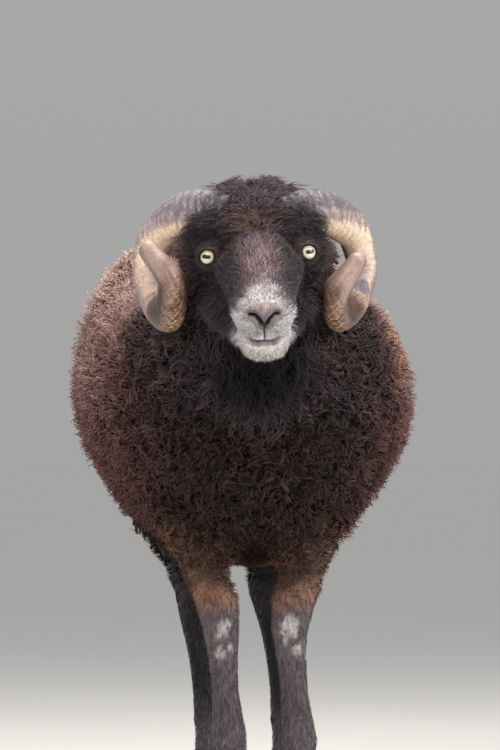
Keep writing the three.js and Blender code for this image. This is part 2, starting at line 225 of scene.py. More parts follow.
def tube(rings, sides):
    """The walls from ring to ring of a tube, and the fan from its last ring to the point that follows it."""
    around = np.arange(sides)
    following = (around + 1) % sides
    lower = np.arange(rings - 1)[:, None] * sides
    upper = lower + sides
    walls = np.stack([lower + around, lower + following, upper + following, upper + around], axis=-1)
    last = (rings - 1) * sides
    fan = np.stack([last + around, last + following, np.full(sides, rings * sides)], axis=1)
    return walls.reshape(-1, 4), fan


def closed_tube(rings, sides, turned):
    """The faces of a tube with a fan at both ends; the second goes to the last point of all. `turned` makes
    them all face the other way."""
    walls, far_end = tube(rings, sides)
    around = np.arange(sides)
    near_end = np.stack([(around + 1) % sides, around, np.full(sides, rings * sides + 1)], axis=1)
    faces = [walls, np.concatenate([far_end, near_end])]
    return [part[:, ::-1] for part in faces] if turned else faces


def strand_faces(count, rings, sides):
    """The faces of as many tubes, each pointed at its tip and closed at its root by one face."""
    start = (np.arange(count) * (rings * sides + 1))[:, None, None]
    shapes = (*tube(rings, sides), np.arange(sides)[::-1][None])
    return [(start + shape).reshape(-1, shape.shape[-1]) for shape in shapes]


# ---------------------------------------------------------------- the skin's shape

FLESH = sorted(n for n in nodes if not n.startswith(("horn_", "eye_")) and "claw" not in n)
SKIN_MESH = 3.75  # size of the skin's mesh on the body; the face is 2 and 4 times finer
GROWN = 0.5  # the solids are grown by this, so that they overlap


def flesh_as_one():
    """All solids of flesh in one mesh, and the solid that each face comes from."""
    joined = bmesh.new()
    owners = []
    for owner, name in enumerate(FLESH):
        solid = bmesh.new()
        solid.from_mesh(nodes[name].data)
        bmesh.ops.remove_doubles(solid, verts=solid.verts, dist=1e-5)
        solid.normal_update()
        for vertex in solid.verts:
            vertex.co += vertex.normal * GROWN * MM
        part = bpy.data.meshes.new(name)
        solid.to_mesh(part)
        solid.free()
        joined.from_mesh(part)
        owners += [owner] * len(part.polygons)
        bpy.data.meshes.remove(part)
    # the sockets, the nostrils and the crease of the mouth are filled here and modelled again on the skin
    fillings = [(eye_centre[name], EYE_RADIUS + GROWN) for name in SIDES]
    fillings += [(from_face([side * 7, 101, -3]), 7.5) for side in SIDES.values()]
    fillings += [(from_face([0, 91.5, -28]), 12.5)]
    fillings += [(from_face([side * 13, 88, -27]), 11.5) for side in SIDES.values()]
    for place, radius in fillings:
        ball = bmesh.ops.create_icosphere(joined, subdivisions=3, radius=radius * MM)
        bmesh.ops.translate(joined, verts=ball["verts"], vec=Vector(place * MM))
    mesh = bpy.data.meshes.new("skin")
    joined.to_mesh(mesh)
    joined.free()
    return mesh, owners


def one_surface(mesh):
    body = link_mesh("skin", mesh)
    remesh = body.modifiers.new("one surface", "REMESH")
    remesh.mode = "VOXEL"
    remesh.voxel_size = SKIN_MESH * MM
    whole = bpy.data.meshes.new_from_object(body.evaluated_get(bpy.context.evaluated_depsgraph_get()))
    body.modifiers.clear()
    body.data = whole
    return body


def refine(mesh, wanted):
    """Halves the mesh where wanted(points) is true."""
    fine = bmesh.new()
    fine.from_mesh(mesh)
    inside = wanted(coordinates(mesh))
    chosen = {e for f in fine.faces if all(inside[v.index] for v in f.verts) for e in f.edges}
    bmesh.ops.subdivide_edges(fine, edges=list(chosen), cuts=1, use_grid_fill=True)
    fine.to_mesh(mesh)
    fine.free()


def face_area(points):
    side, nose, off = to_face(points).T
    return (nose > -18) & (np.abs(side) < 60) & (off > -58)


def detail_area(points):
    """Round the eyes, the nose and the mouth."""
    _, nose, off = to_face(points).T
    return (from_eyes(points) < 21) | ((nose > 78) & (off > -46))


def regions_of(points, owners, solids):
    """How much of each solid a point of the skin belongs to."""
    tree = BVHTree.FromPolygons(
        [v.co / MM for v in solids.vertices], [p.vertices[:] for p in solids.polygons][: len(owners)]
    )
    nearest = [owners[tree.find_nearest(Vector(p))[2]] for p in points]
    share = np.zeros((len(points), len(FLESH)))
    share[np.arange(len(points)), nearest] = 1
    return share


def region(shares, *words):
    return sum(shares[:, i] for i, n in enumerate(FLESH) if any(w in n for w in words))


def coat_depth(points, shares):
    """How far the skin lies inside the tips of the coat."""
    _, nose, off = to_face(points).T
    cheek = step(-2, -26, off) * step(60, 25, nose)
    poll = step(8, -22, nose)
    face = 2.2 + 5 * poll + 9 * cheek * step(62, 20, nose)
    face = face * step(104, 80, nose) + 1.3 * step(80, 104, nose)
    jaw = 1.5 + 9 * step(66, 30, nose)
    leg = 2 + 8 * step(178, 225, points[:, 2])
    depth = 14 * region(shares, "trunk") + 13 * region(shares, "neck") + 9 * region(shares, "tail")
    depth += 13 * region(shares, "topknot") + 1.4 * region(shares, "ear_")
    depth += face * shares[:, FLESH.index("head")] + jaw * region(shares, "lower_jaw")
    depth += leg * region(shares, "leg_")
    near_eye = step(30, 20, from_eyes(points))
    return depth * (1 - near_eye) + near_eye


# ---------------------------------------------------------------- modelling the face on the skin

GAZE = math.radians(27)  # how far each eye looks out from straight ahead
LID_OPENING = (6.7, 5.9)  # half width and half height of the opening, along the eyeball
LID_TILT = math.radians(8)  # the opening drops a little towards the nose
SOCKET = 30  # how far from the eye's centre the lids are modelled


def gaze_axes(name):
    """Outward, upward and forward from the eye, level in the head."""
    side = SIDES[name]
    turn = GAZE * side
    forward = -BACKWARD * math.cos(turn) + LEFTWARD * math.sin(turn)
    outward = (LEFTWARD * math.cos(turn) + BACKWARD * math.sin(turn)) * side
    return np.array([outward, CROWNWARD, forward])


def turned_by(angle, across, rise):
    cosine, sine = math.cos(angle), math.sin(angle)
    return across * cosine - rise * sine, rise * cosine + across * sine


def opening(points, name):
    """Below 1 inside the opening of the lids and above 1 outside; the distance from the eye's centre; and
    the distances across and up along the eyeball."""
    away = (points - eye_centre[name]) @ gaze_axes(name).T
    reach = np.linalg.norm(away, axis=1)
    across = np.arctan2(away[:, 0], away[:, 2]) * EYE_RADIUS
    rise = np.arcsin(np.clip(away[:, 1] / np.maximum(reach, 1e-6), -1, 1)) * EYE_RADIUS
    across, rise = turned_by(LID_TILT, across, rise)
    wide, high = LID_OPENING
    corner = 1 + 0.34 * step(-1, -8, across) + 0.12 * step(2, 8, across)  # drawn out towards the nose
    shape = np.sqrt((across / (wide * corner)) ** 2 + (rise / high) ** 2)
    shape = np.where(away[:, 2] < 0, 9, shape)
    return shape, reach, across, rise


def shape_lids(points):
    """Lids over each eyeball: a thick rim, a fold above it and the hollow in front of the eye."""
    for name in SIDES:
        shape, reach, _, rise = opening(points, name)
        out = unit(points - eye_centre[name])
        near = step(3.4, 2.0, shape) * (reach < SOCKET)
        rim = 1.5 + 0.7 * mound(shape, 1.12, 0.12) - 0.7 * mound(shape, 1.5, 0.16) * step(-2, 3, rise)
        rim += 1.6 * step(1.5, 2.4, shape)
        target = np.where(shape > 1, EYE_RADIUS + rim, EYE_RADIUS - 2.6 * step(1.0, 0.86, shape) - 0.2)
        target = np.where((shape > 0.93) & (shape <= 1.0), EYE_RADIUS - 0.4, target)
        blended = reach + (target - reach) * near
        points = np.where((near > 0)[:, None], eye_centre[name] + out * blended[:, None], points)
    return points


# the wing of the nostril, up and out from the foot of the nose pad, on the animal's left
NOSTRIL = [(2.2, 108.5, -10.5), (4.0, 107.5, -4.5), (7.0, 106, -0.2), (10, 105, 1.2), (12.6, 103.5, 0.6)]
# the line between the lips, from the middle round to the corner
MOUTH = [(0, 106, -27.5), (9, 105, -28.2), (18, 101, -27), (25, 92, -24.6), (28.5, 80, -24), (30, 66, -25)]


def along_line(line, points, side=1, count=48):
    """Places spaced along a line drawn on the face, laid on the skin. side -1 mirrors it."""
    line = np.array(line, float) * [side, 1, 1]
    at = np.linspace(0, len(line) - 1, count)
    columns = [np.interp(at, np.arange(len(line)), column) for column in line.T]
    target = from_face(np.stack(columns, axis=1))
    near = points[np.linalg.norm(points - target.mean(axis=0), axis=1) < 70]
    laid = np.array([near[np.argmin(np.sum((near - p) ** 2, axis=1))] for p in target])
    for _ in range(4):
        laid[1:-1] = (laid[:-2] + laid[1:-1] * 2 + laid[2:]) / 4
    return laid


def distance_to(points, line):
    """Distance from each point to places along a line, and the height of the point over it on the face."""
    best = np.full(len(points), 1e9)
    over = np.zeros(len(points))
    close = np.flatnonzero(np.linalg.norm(points - line.mean(axis=0), axis=1) < 80)
    for place in line:
        away = points[close] - place
        gap = np.linalg.norm(away, axis=1)
        nearer = gap < best[close]
        best[close[nearer]] = gap[nearer]
        over[close[nearer]] = (away @ OFF_FACE)[nearer]
    return best, over


def face_lines(points):
    """For each point its distance from the nearer nostril and from the lips, and how far it is above each."""
    (right, over_right), (left, over_left) = (
        distance_to(points, along_line(NOSTRIL, points, side)) for side in SIDES.values()
    )
    lips = np.concatenate([along_line(MOUTH, points, -1)[::-1], along_line(MOUTH, points, 1)])
    lip, over_lip = distance_to(points, lips)
    return {
        "nostril": np.minimum(right, left),
        "over_nostril": np.where(right < left, over_right, over_left),
        "lip": lip,
        "over_lip": over_lip,
    }


def philtrum(side, nose, off, width=1.1):
    """The thin groove from between the nostrils down to the lips."""
    return mound(side, 0, width) * step(-28, -25.5, off) * step(-8, -12, off) * step(84, 94, nose)


def shape_muzzle(points, normals, lines):
    """Nostrils, the groove below them, the lips and the pad of the nose."""
    side, nose, off = to_face(points).T
    gap, over = lines["nostril"], lines["over_nostril"]
    push = -6.0 * np.exp(-((gap / 1.6) ** 4))
    push += 1.2 * mound(gap, 3.6, 1.3) * step(0, 1.5, over)
    push += 0.9 * mound(gap, 4.4, 1.8) * step(0, -1.5, over)
    push -= 1.6 * philtrum(side, nose, off)
    gap, over = lines["lip"], lines["over_lip"]
    fading = step(20, 12, np.abs(side))
    push -= 3.0 * mound(gap, 0, 1.4) * fading
    push += 1.2 * mound(gap, 4.6, 2.6) * step(0, 2.0, over) * fading
    push += 0.8 * mound(gap, 4.0, 2.2) * step(0, -1.5, over) * fading
    return points + normals * push[:, None]


def shape_brow(points, normals):
    """Ridges over the eyes, the hollow between them, and the bone down to the cheek."""
    side, nose, off = to_face(points).T
    wide = np.abs(side)
    push = 2.2 * mound(wide, 33, 8) * mound(nose, -16, 9) * step(0, 12, off)
    push -= 1.6 * mound(wide, 0, 12) * mound(nose, 4, 24) * step(8, 18, off)
    push -= 2.0 * mound(wide, 27, 6) * mound(nose, 34, 16) * step(-6, 6, off)
    return points + normals * push[:, None]


def unwrap(body):
    bpy.context.view_layer.objects.active = body
    body.select_set(True)
    bpy.ops.object.mode_set(mode="EDIT")
    bpy.ops.mesh.select_all(action="SELECT")
    bpy.ops.uv.smart_project(angle_limit=math.radians(66), island_margin=0.002)
    bpy.ops.object.mode_set(mode="OBJECT")
    body.select_set(False)
    body.data.uv_layers[0].name = "OFBake"


SMOOTHING = {"strength": 0.5, "hold": 0.52}  # takes the steps off a mesh and keeps its size


def make_skin():
    solids, owners = flesh_as_one()
    body = one_surface(solids)
    mesh = body.data
    edges = edges_of(mesh)
    points = coordinates(mesh)
    woolly = relaxed(region(regions_of(points, owners, solids), "trunk", "neck", "tail"), edges, 6)
    points = relaxed(points, edges, 5, **SMOOTHING)
    moved(mesh, relaxed(points, edges, 40, 0.5 * woolly))

    refine(mesh, face_area)
    refine(mesh, detail_area)
    edges = edges_of(mesh)
    points = moved(mesh, relaxed(coordinates(mesh), edges, 3, **SMOOTHING))

    # set in by the coat's depth, a third at a time so that the normals stay true
    shares = relaxed(regions_of(points, owners, solids), edges, 14)
    depth = relaxed(coat_depth(points, shares), edges, 10)
    for _ in range(3):
        points = moved(mesh, points - normals_of(mesh) * depth[:, None] / 3)
    points = relaxed(points, edges, 5, 0.5 * step(1.5, 6, depth))
    # the pasterns come down again onto the claws
    points = moved(mesh, points + DOWN * (4.2 * step(44, 30, points[:, 2]))[:, None])

    points = moved(mesh, shape_brow(points, normals_of(mesh)))
    points = moved(mesh, shape_lids(points))
    lines = face_lines(points)
    moved(mesh, shape_muzzle(points, normals_of(mesh), lines))
    mesh.polygons.foreach_set("use_smooth", np.ones(len(mesh.polygons), bool))
    unwrap(body)
    return body, shares, depth, lines


# ---------------------------------------------------------------- horns and eyes

HORN_BACK = 37  # the centre of both coils, behind the eyes
HORN_START = 62  # degrees round the coil: 0 is forward, 90 is up, 180 is back
# `up` is the height of the coil's centre over the eyes, `turn` the degrees from root to tip, and each station
# is [distance from the mid-plane, half thickness], evenly spaced from root to tip
HORNS = {
    "right": {"up": -2, "radius": 43.3, "turn": 312, "stations": [
        (23, 19), (65, 20.5), (90, 19.5), (94, 19), (88, 18.5), (79, 17.5), (76.5, 16), (96, 11)]},
    "left": {"up": -7.8, "radius": 44.9, "turn": 294.5, "stations": [
        (23, 19), (65, 20.5), (91, 18.5), (96, 16.5), (86, 17.5), (71, 17.5), (67.5, 16), (87, 10.5)]},
}
HORN_TIP = 9
HORN_FLATNESS = 0.86
HORN_RINGS, HORN_SIDES, TIP_RINGS = 330, 60, 10

SLATE = linear("#857b85")
SLATE_DARK = linear("#575061")
TAN = linear("#f6dabf")
HORN_BROWN = linear("#66412a")
HORN_PALE = linear("#b0948a")
HORN_GOLD = linear("#dcb78b")
# painted shade for the dark lines along the horn's edges, partly its own dark keel
HORN_EDGE_SHADE = linear("#3a2b25")


def through(stations, t):
    """A smooth curve through evenly numbered stations (a centripetal spline), at shares t of its length."""
    stations = np.array(stations, float)
    ends = np.vstack([2 * stations[0] - stations[1], stations, 2 * stations[-1] - stations[-2]])
    at = np.clip(t, 0, 1) * (len(stations) - 1)
    first = np.minimum(at.astype(int), len(stations) - 2)
    share = (at - first)[:, None]
    p0, p1, p2, p3 = (ends[first + i] for i in range(4))
    gaps = ((p0, p1), (p1, p2), (p2, p3))
    d0, d1, d2 = (np.sqrt(np.linalg.norm(b - a, axis=1))[:, None] for a, b in gaps)
    t1 = ((p1 - p0) / d0 - (p2 - p0) / (d0 + d1) + (p2 - p1) / d1) * d1
    t2 = ((p2 - p1) / d1 - (p3 - p1) / (d1 + d2) + (p3 - p2) / d2) * d1
    bend, twist = -3 * p1 + 3 * p2 - 2 * t1 - t2, 2 * p1 - 2 * p2 + t1 + t2
    return p1 + t1 * share + bend * share**2 + twist * share**3


def horn_shape(side, grown_as):
    """Points on rings from root to tip, then the tip and the root's middle; and for each point its place
    from root to tip, its angle round the horn, and how high the season's ring and the fine ridge stand."""
    t = np.linspace(0, 1, HORN_RINGS)
    reach = through(grown_as["stations"], t)
    angle = np.radians(HORN_START + grown_as["turn"] * t)
    radius, up = grown_as["radius"], grown_as["up"]
    centre = np.array([0, HORN_BACK, up])
    coil = [side * reach[:, 0], HORN_BACK - radius * np.cos(angle), up + radius * np.sin(angle)]
    spine = np.stack(coil, axis=1)
    along = unit(np.gradient(spine, axis=0))
    outward = (spine - centre) * [0, 1, 1]
    outward = unit(outward - along * np.sum(outward * along, axis=1, keepdims=True))
    across = np.cross(along, outward) * side
    run = np.concatenate([[0], np.cumsum(np.linalg.norm(np.diff(spine, axis=0), axis=1))])
    down, around = np.meshgrid(t, FULL_TURN * np.arange(HORN_SIDES) / HORN_SIDES, indexing="ij")

    # broad waves a season apart, closer together towards the tip, with fine ridges on them
    phase = run[:, None] + 3.5 * np.sin(around + 0.6) + 2.6 * np.sin(2.3 * down * 9 + 1)
    phase = phase + 1.7 * np.sin(down * 47 + 2 * around)
    young = step(0.62, 0.15, down)
    season = np.sin(FULL_TURN * phase / (8.5 - 3 * down))
    season = np.sign(season) * np.abs(season) ** 0.8
    fine = np.sin(FULL_TURN * phase / 2.3 + 2 * np.sin(phase / 7)) * (0.6 + 0.4 * np.sin(phase / 5.1))
    grown = 0.32 * season * (0.3 + 0.7 * young) + 0.16 * fine * (0.4 + 0.6 * young)
    keel = 0.035 * np.cos(3 * around + 0.5) + 0.02 * np.cos(2 * around)
    size = reach[:, 1][:, None] * (1 + keel) + grown * step(1.0, 0.93, down) - 0.35
    place = spine[:, None] + outward[:, None] * (size * np.cos(around))[..., None]
    place = place + across[:, None] * (size * HORN_FLATNESS * np.sin(around))[..., None]

    tip = along[-1] * HORN_TIP
    rounding = np.linspace(0, math.pi / 2, TIP_RINGS + 2)[1:-1]
    caps = [spine[-1] + tip * math.sin(bend) + (place[-1] - spine[-1]) * math.cos(bend) for bend in rounding]
    points = np.concatenate([place.reshape(-1, 3), np.concatenate(caps), [spine[-1] + tip], [spine[0]]])

    def over_tip(rings):
        caps = np.repeat(rings[-1][None], TIP_RINGS, 0)
        return np.concatenate([rings.ravel(), caps.ravel(), [rings[-1, 0]], [rings[0, 0]]])

    return points, [over_tip(rings) for rings in (down, around, season, fine)]


def horn_colour(name, points, down, around, season, fine):
    """Slate on the outer edge and tan inside, then pale, and brown with golden flecks towards the tip."""
    patchy, fleck, speck = drift(points, 17, 31), drift(points, 4.5, 32), drift(points, 4.2, 34)
    # 1 on the outside of the coil, and 1 on the side away from the head
    outside, lateral = np.cos(around), np.sin(around)
    outer = step(-0.28, 0.12, outside + 0.16 * patchy + 0.08 * fleck)
    slate = outer * step(0.5, 0.22, down + 0.04 * patchy)
    slate = np.maximum(slate, step(0.72, 0.97, lateral + 0.1 * fleck) * step(0.62, 0.5, down) * 0.8)
    browned = step(0.56, 0.66, down + 0.02 * patchy) * (0.95 - 0.25 * step(0.0, 0.9, outside))
    mottled = step(0.1, 0.9, fleck + 0.3 * patchy) * step(0.58, 0.68, down) * step(0.84, 0.74, down)
    gold = step(-0.4, 0.4, fleck + 0.5 * patchy) * mound(down, 0.71, 0.05) * step(0.0, -0.6, lateral)
    speckled = step(0.54, 0.62, down) * step(0.96, 0.78, down + 0.03 * patchy)
    bruise = mound(down, 0.55, 0.05) * mound(lateral, 0.4, 0.5) * (outside < 0)
    # painted shade: a dark line down each edge, where the faces of the horn meet and turn away from the
    # light, partly the horn's own dark keel
    round_it = np.arctan2(lateral, outside)
    front = mound(round_it, 1.08, 0.2) * step(0.62, 0.70, down) * step(0.98, 0.9, down)
    inner = mound(round_it, -2.1, 0.24) * step(0.12, 0.2, down) * step(0.5, 0.4, down)
    back = mound(round_it, -1.25, 0.15) * step(0.6, 0.7, down) * step(0.95, 0.85, down) * 0.7
    colour = layered(
        TAN,
        (HORN_BROWN, step(0.30, 0.9, fleck + 0.4 * patchy) * step(0.5, 0.2, down) * 0.25),
        (HORN_PALE, step(0.32, 0.5, down) * (0.7 + 0.3 * outer)),
        (HORN_BROWN, browned),
        (HORN_PALE, step(0.83, 0.97, down + 0.03 * patchy)),
        (HORN_BROWN * 0.5, mottled * 0.6),
        (HORN_GOLD, gold),
        (HORN_BROWN * 0.55, step(0.1, 0.5, speck + 0.4 * fleck) * speckled * 0.85),
        (HORN_GOLD, step(0.1, 0.6, -speck + 0.4 * patchy) * speckled * step(0.7, -0.2, lateral) * 0.8),
        # painted shade: the slate of the left horn is drawn at about half the brightness of the right's
        (SLATE if name == "right" else SLATE * 0.55, slate),
        (SLATE_DARK, slate * step(0.3, -0.8, season + 0.9 * patchy) * 0.34),
        (SLATE_DARK, slate * step(0.2, 1.0, patchy - 0.5 * fleck) * 0.5),
        (TAN, slate * step(0.5, 1.2, fleck + 0.2 * season) * 0.2),
        (SLATE, step(0.05, 0.6, drift(points, 26, 33)) * mound(down, 0.5, 0.12) * 0.55),
        (SLATE_DARK, step(0.25, 0.6, bruise + 0.1 * fleck) * 0.85 * (name == "left")),
        (HORN_EDGE_SHADE, np.maximum(np.maximum(front, inner), back) * 0.8),
    )
    light = 1 + 0.05 * fine + 0.05 * season * step(0.6, 0.2, down) + 0.07 * fleck + 0.08 * patchy
    # painted shade: both edges of the front arm are darker, as if rounding away from the light
    light = light * (1 - 0.4 * step(0.5, 0.95, np.abs(lateral)) * step(0.6, 0.72, down))
    # painted shade where the horn goes into the hair
    light = light * (0.3 + 0.7 * step(0.02, 0.1, down + 0.02 * fleck))  # dark where the hair meets it
    return colour * light[:, None]


def make_horn(name):
    """A horn sheath grown in rings, worn smooth and browner towards the tip."""
    side = SIDES[name]
    points, grown = horn_shape(side, HORNS[name])
    points = points @ np.array([LEFTWARD, BACKWARD, CROWNWARD]) + BROW
    colour = horn_colour(name, points, *grown)
    faces = closed_tube(HORN_RINGS + TIP_RINGS, HORN_SIDES, turned=side < 0)
    made = new_piece(f"horn_sheath_{name}", points, faces, colours=np.clip(colour, 0.003, 1))
    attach(made, "root")
    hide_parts(f"horn_{name}")
    made.data.materials.append(horn_material())


IRIS_RADIUS = 6.9
PUPIL = (3.9, 1.7)  # half width and half height of the level bar
PUPIL_RISE = 0.4
PUPIL_TILT = math.radians(-9)
EYE_SEGMENTS = 96
IRIS_PALE = linear("#f8f0e0")
# painted shadow of the upper lid over the top of the iris
IRIS_LID_SHADOW = linear("#cbb692")
IRIS_SPOKES = linear("#b08d5c")
IRIS_RIM = linear("#b06a2c")
IRIS_OUTLINE = linear("#120c0a")
PUPIL_EDGE = linear("#8c6f45")
PUPIL_BLACK = linear("#0a0707")
EYE_WHITE = linear("#7c5f50")  # the white of the eye is brown in a ram


def eye_colour(local):
    across, rise, ahead = local.T
    away = np.arctan2(np.hypot(across, rise), ahead) * EYE_RADIUS
    bearing = np.arctan2(rise, across)
    wide, high = turned_by(PUPIL_TILT, across, rise)
    pupil = (np.abs(wide) / PUPIL[0]) ** 3 + (np.abs(high - PUPIL_RISE) / PUPIL[1]) ** 3
    spokes = 0.5 + 0.5 * np.sin(bearing * 23 + 2 * np.sin(bearing * 5)) * np.sin(bearing * 41 + 1)
    return layered(
        IRIS_PALE,
        # painted shadow of the upper lid
        (IRIS_LID_SHADOW, step(-0.5, 5, rise) * 0.7),
        (IRIS_SPOKES, spokes * 0.28 * step(1.5, 4, away)),
        (IRIS_RIM, step(IRIS_RADIUS - 1.5, IRIS_RADIUS - 0.3, away) * 0.75),
        (IRIS_OUTLINE, step(IRIS_RADIUS - 0.25, IRIS_RADIUS + 0.2, away)),
        (EYE_WHITE, step(10.5, 13, away)),
        (PUPIL_EDGE, step(2.2, 1.15, pupil) * 0.8 * (ahead > 0)),
        (PUPIL_BLACK, step(1.15, 0.85, pupil) * (ahead > 0)),
    )


def make_eye(name):
    """An eyeball with its clear bulge, a pale iris and the level bar of a sheep's pupil."""
    polar = np.concatenate([np.linspace(0, 0.75, 56), np.linspace(0.75, math.pi, 26)[1:]])[1:-1]
    turn = FULL_TURN * np.arange(EYE_SEGMENTS) / EYE_SEGMENTS
    off, around = np.meshgrid(polar, turn, indexing="ij")
    radius = EYE_RADIUS - 0.1 + 0.55 * step(8.5, 3.5, EYE_RADIUS * off)
    ring = [np.sin(off) * np.cos(around), np.sin(off) * np.sin(around), np.cos(off)]
    local = np.stack([radius * part for part in ring], axis=-1).reshape(-1, 3)
    local = np.concatenate([local, [[0, 0, 0.1 - EYE_RADIUS], [0, 0, EYE_RADIUS + 0.45]]])
    points = local @ gaze_axes(name) + eye_centre[name]
    faces = closed_tube(len(polar), EYE_SEGMENTS, turned=SIDES[name] > 0)
    made = new_piece(f"eyeball_{name}", points, faces, colours=np.clip(eye_colour(local), 0.001, 1))
    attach(made, "root")
    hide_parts(f"eye_{name}")
    made.data.materials.append(eye_material())


# ---------------------------------------------------------------- the markings of skin and coat

TRUNK_MIDDLE = 72.5  # how far the trunk's middle lies behind the middle of the model's box

FLEECE = linear("#5b423e")  # brown-black wool, weathered to brown at the tips
CHEST = linear("#483735")
HEM = linear("#2e2220")
# partly painted light: the back, rump and upper flanks drawn paler, as lit from above
SUNLIT_BLEACH = linear("#b89a93")  # bleached pinkish brown over the back and rump
# partly painted light: the golden left shoulder, as lit by a low sun from the ram's left
SUNLIT_GOLD = linear("#c39870")  # the bleached wool of the left shoulder
# partly painted light: the top of the rump drawn pale, as lit from above
SUNLIT_PALE_RUMP = linear("#dcbba8")
FLANK = linear("#7c5955")
NECK = linear("#544548")
MANE = linear("#262023")  # blue-black hair of the throat and breast
CHEEK = linear("#4b4146")
FACE = linear("#584c52")
BAND = linear("#8c7479")  # mixed brown and white hair down the nose
RUST = linear("#7d6054")
WHITE = linear("#f4eef2")
CHIN = linear("#efe8e4")
PAD = linear("#998785")
WING = linear("#6f6063")  # thin-haired skin round the nostrils
WET_NOSE = linear("#3c3436")
LIP = linear("#75655f")
# painted shadow in the crease between the lips
MOUTH_SHADOW = linear("#1a1211")
LID_RIM = linear("#17100f")
EYE_CORNER = linear("#4a322c")
LEG = linear("#5c5256")
# painted shade: the hind legs are drawn near black, as if in shadow
HIND_LEG_SHADE = linear("#1b1819")
KNEE = linear("#e6dedb")
LEG_WOOL = linear("#876451")
# painted shadow: near black under the chin, inside the nostrils and in the groove below the nose
DEEP_SHADE = linear("#070506")
EAR = linear("#b08f8a")
KNOT = linear("#4b4146")
# white spots on the front of both fore knees: [distance to the left, height, size, share]
KNEE_SPOTS = [(-31, 156, 6.5, 1.0), (-37, 147, 5, 0.6), (-35, 134, 5.5, 0.8), (-25, 138, 3.5, 0.7),
              (29, 157, 8, 1.2), (25, 144, 4.5, 0.7), (36, 136, 5, 0.9), (33, 149, 5, 0.8)]


def nose_pad(side, nose, off):
    """The bare skin over and between the nostrils."""
    top = step(17, 11, np.abs(side)) * step(94, 99, nose) * step(-3, 4, off) * (1 - step(13, 17, off))
    return np.maximum(top, mound(side, 0, 4.5) * step(98, 104, nose) * step(-10, -5, off))


def head_markings(side, nose, off, patchy, fine):
    """Near black, with a brown band down the nose and a white ring round the lips."""
    wide = np.abs(side)
    front = step(2, 10, off)
    band = mound(side, 0.5, 12 + 4 * fine) * step(-8, 18, nose) * front
    # the white ring reaches up the middle of the nose, stays low at its sides and is widest at the lips
    reach = nose + 5 * fine - 17 * step(5, 20, wide) * step(-6, 6, off) + 5 * step(2, -14, off)
    reach = reach - 26 * step(20, 27, wide + 1.5 * fine) * step(-22, -6, off)
    under_chin = wide + 0.75 * np.clip(-36 - off, 0, 20) + 1.5 * fine
    return layered(
        FACE,
        (CHEEK, step(6, -14, off) * step(100, 70, nose)),
        (CHEEK * 0.55, step(12, 21, wide + 2 * fine) * step(86, 70, nose)),
        (FACE * 0.36, step(4, -16, nose) * front),
        (BAND, band * (0.85 + 0.25 * patchy)),
        (RUST, mound(side, -11, 6) * mound(nose, 38, 12) * 0.35),
        (RUST * 0.7, mound(side, 13, 5) * mound(nose, 46, 12) * 0.3),
        (RUST * 0.7, mound(wide, 28, 3) * mound(nose, -2, 5) * 0.4 * step(-4, 6, off)),
        (WHITE, step(66, 96, reach) * step(28.5, 24, wide + 1.5 * fine)),
        (BAND, mound(wide, 0, 15) * mound(nose, 90, 10) * step(4, 10, off) * 0.25),
        # painted shade on the upper lip, below the nose
        (WHITE * 0.42, mound(wide, 0, 18) * mound(off, -19, 7) * step(86, 96, nose) * 0.6),
        (CHIN, step(70, 84, nose) * step(-28, -34, off) * step(24, 19, under_chin)),
        (CHEEK, step(19, 24, under_chin) * step(-36, -42, off)),
        (PAD, nose_pad(side, nose, off)),
    )


def leg_markings(points, y, fine):
    """Charcoal, with the hind legs painted near black as shade, white on the fore knees and wool above them.
    """
    x, _, z = points.T
    front = step(-178, -190, y)
    ragged = 1 + 0.5 * fine + 0.35 * drift(points, 5, 14)
    # painted shade darkens the hind legs
    legs = layered(LEG, (HIND_LEG_SHADE, step(-20, 60, y) * step(20, 90, z)))
    for middle, height, size, share in KNEE_SPOTS:
        spot = np.exp(-(((x - middle) / size) ** 2) - (((z - height) / (size * 1.2)) ** 2))
        legs = layered(legs, (KNEE, step(0.25, 0.75, spot * ragged * share) * front))
    return layered(
        legs,
        (LEG * 1.5, mound(z, 145, 26) * front * 0.5),
        (LEG_WOOL, step(168, 184, z + 7 * fine) * step(60, -40, y)),
    )


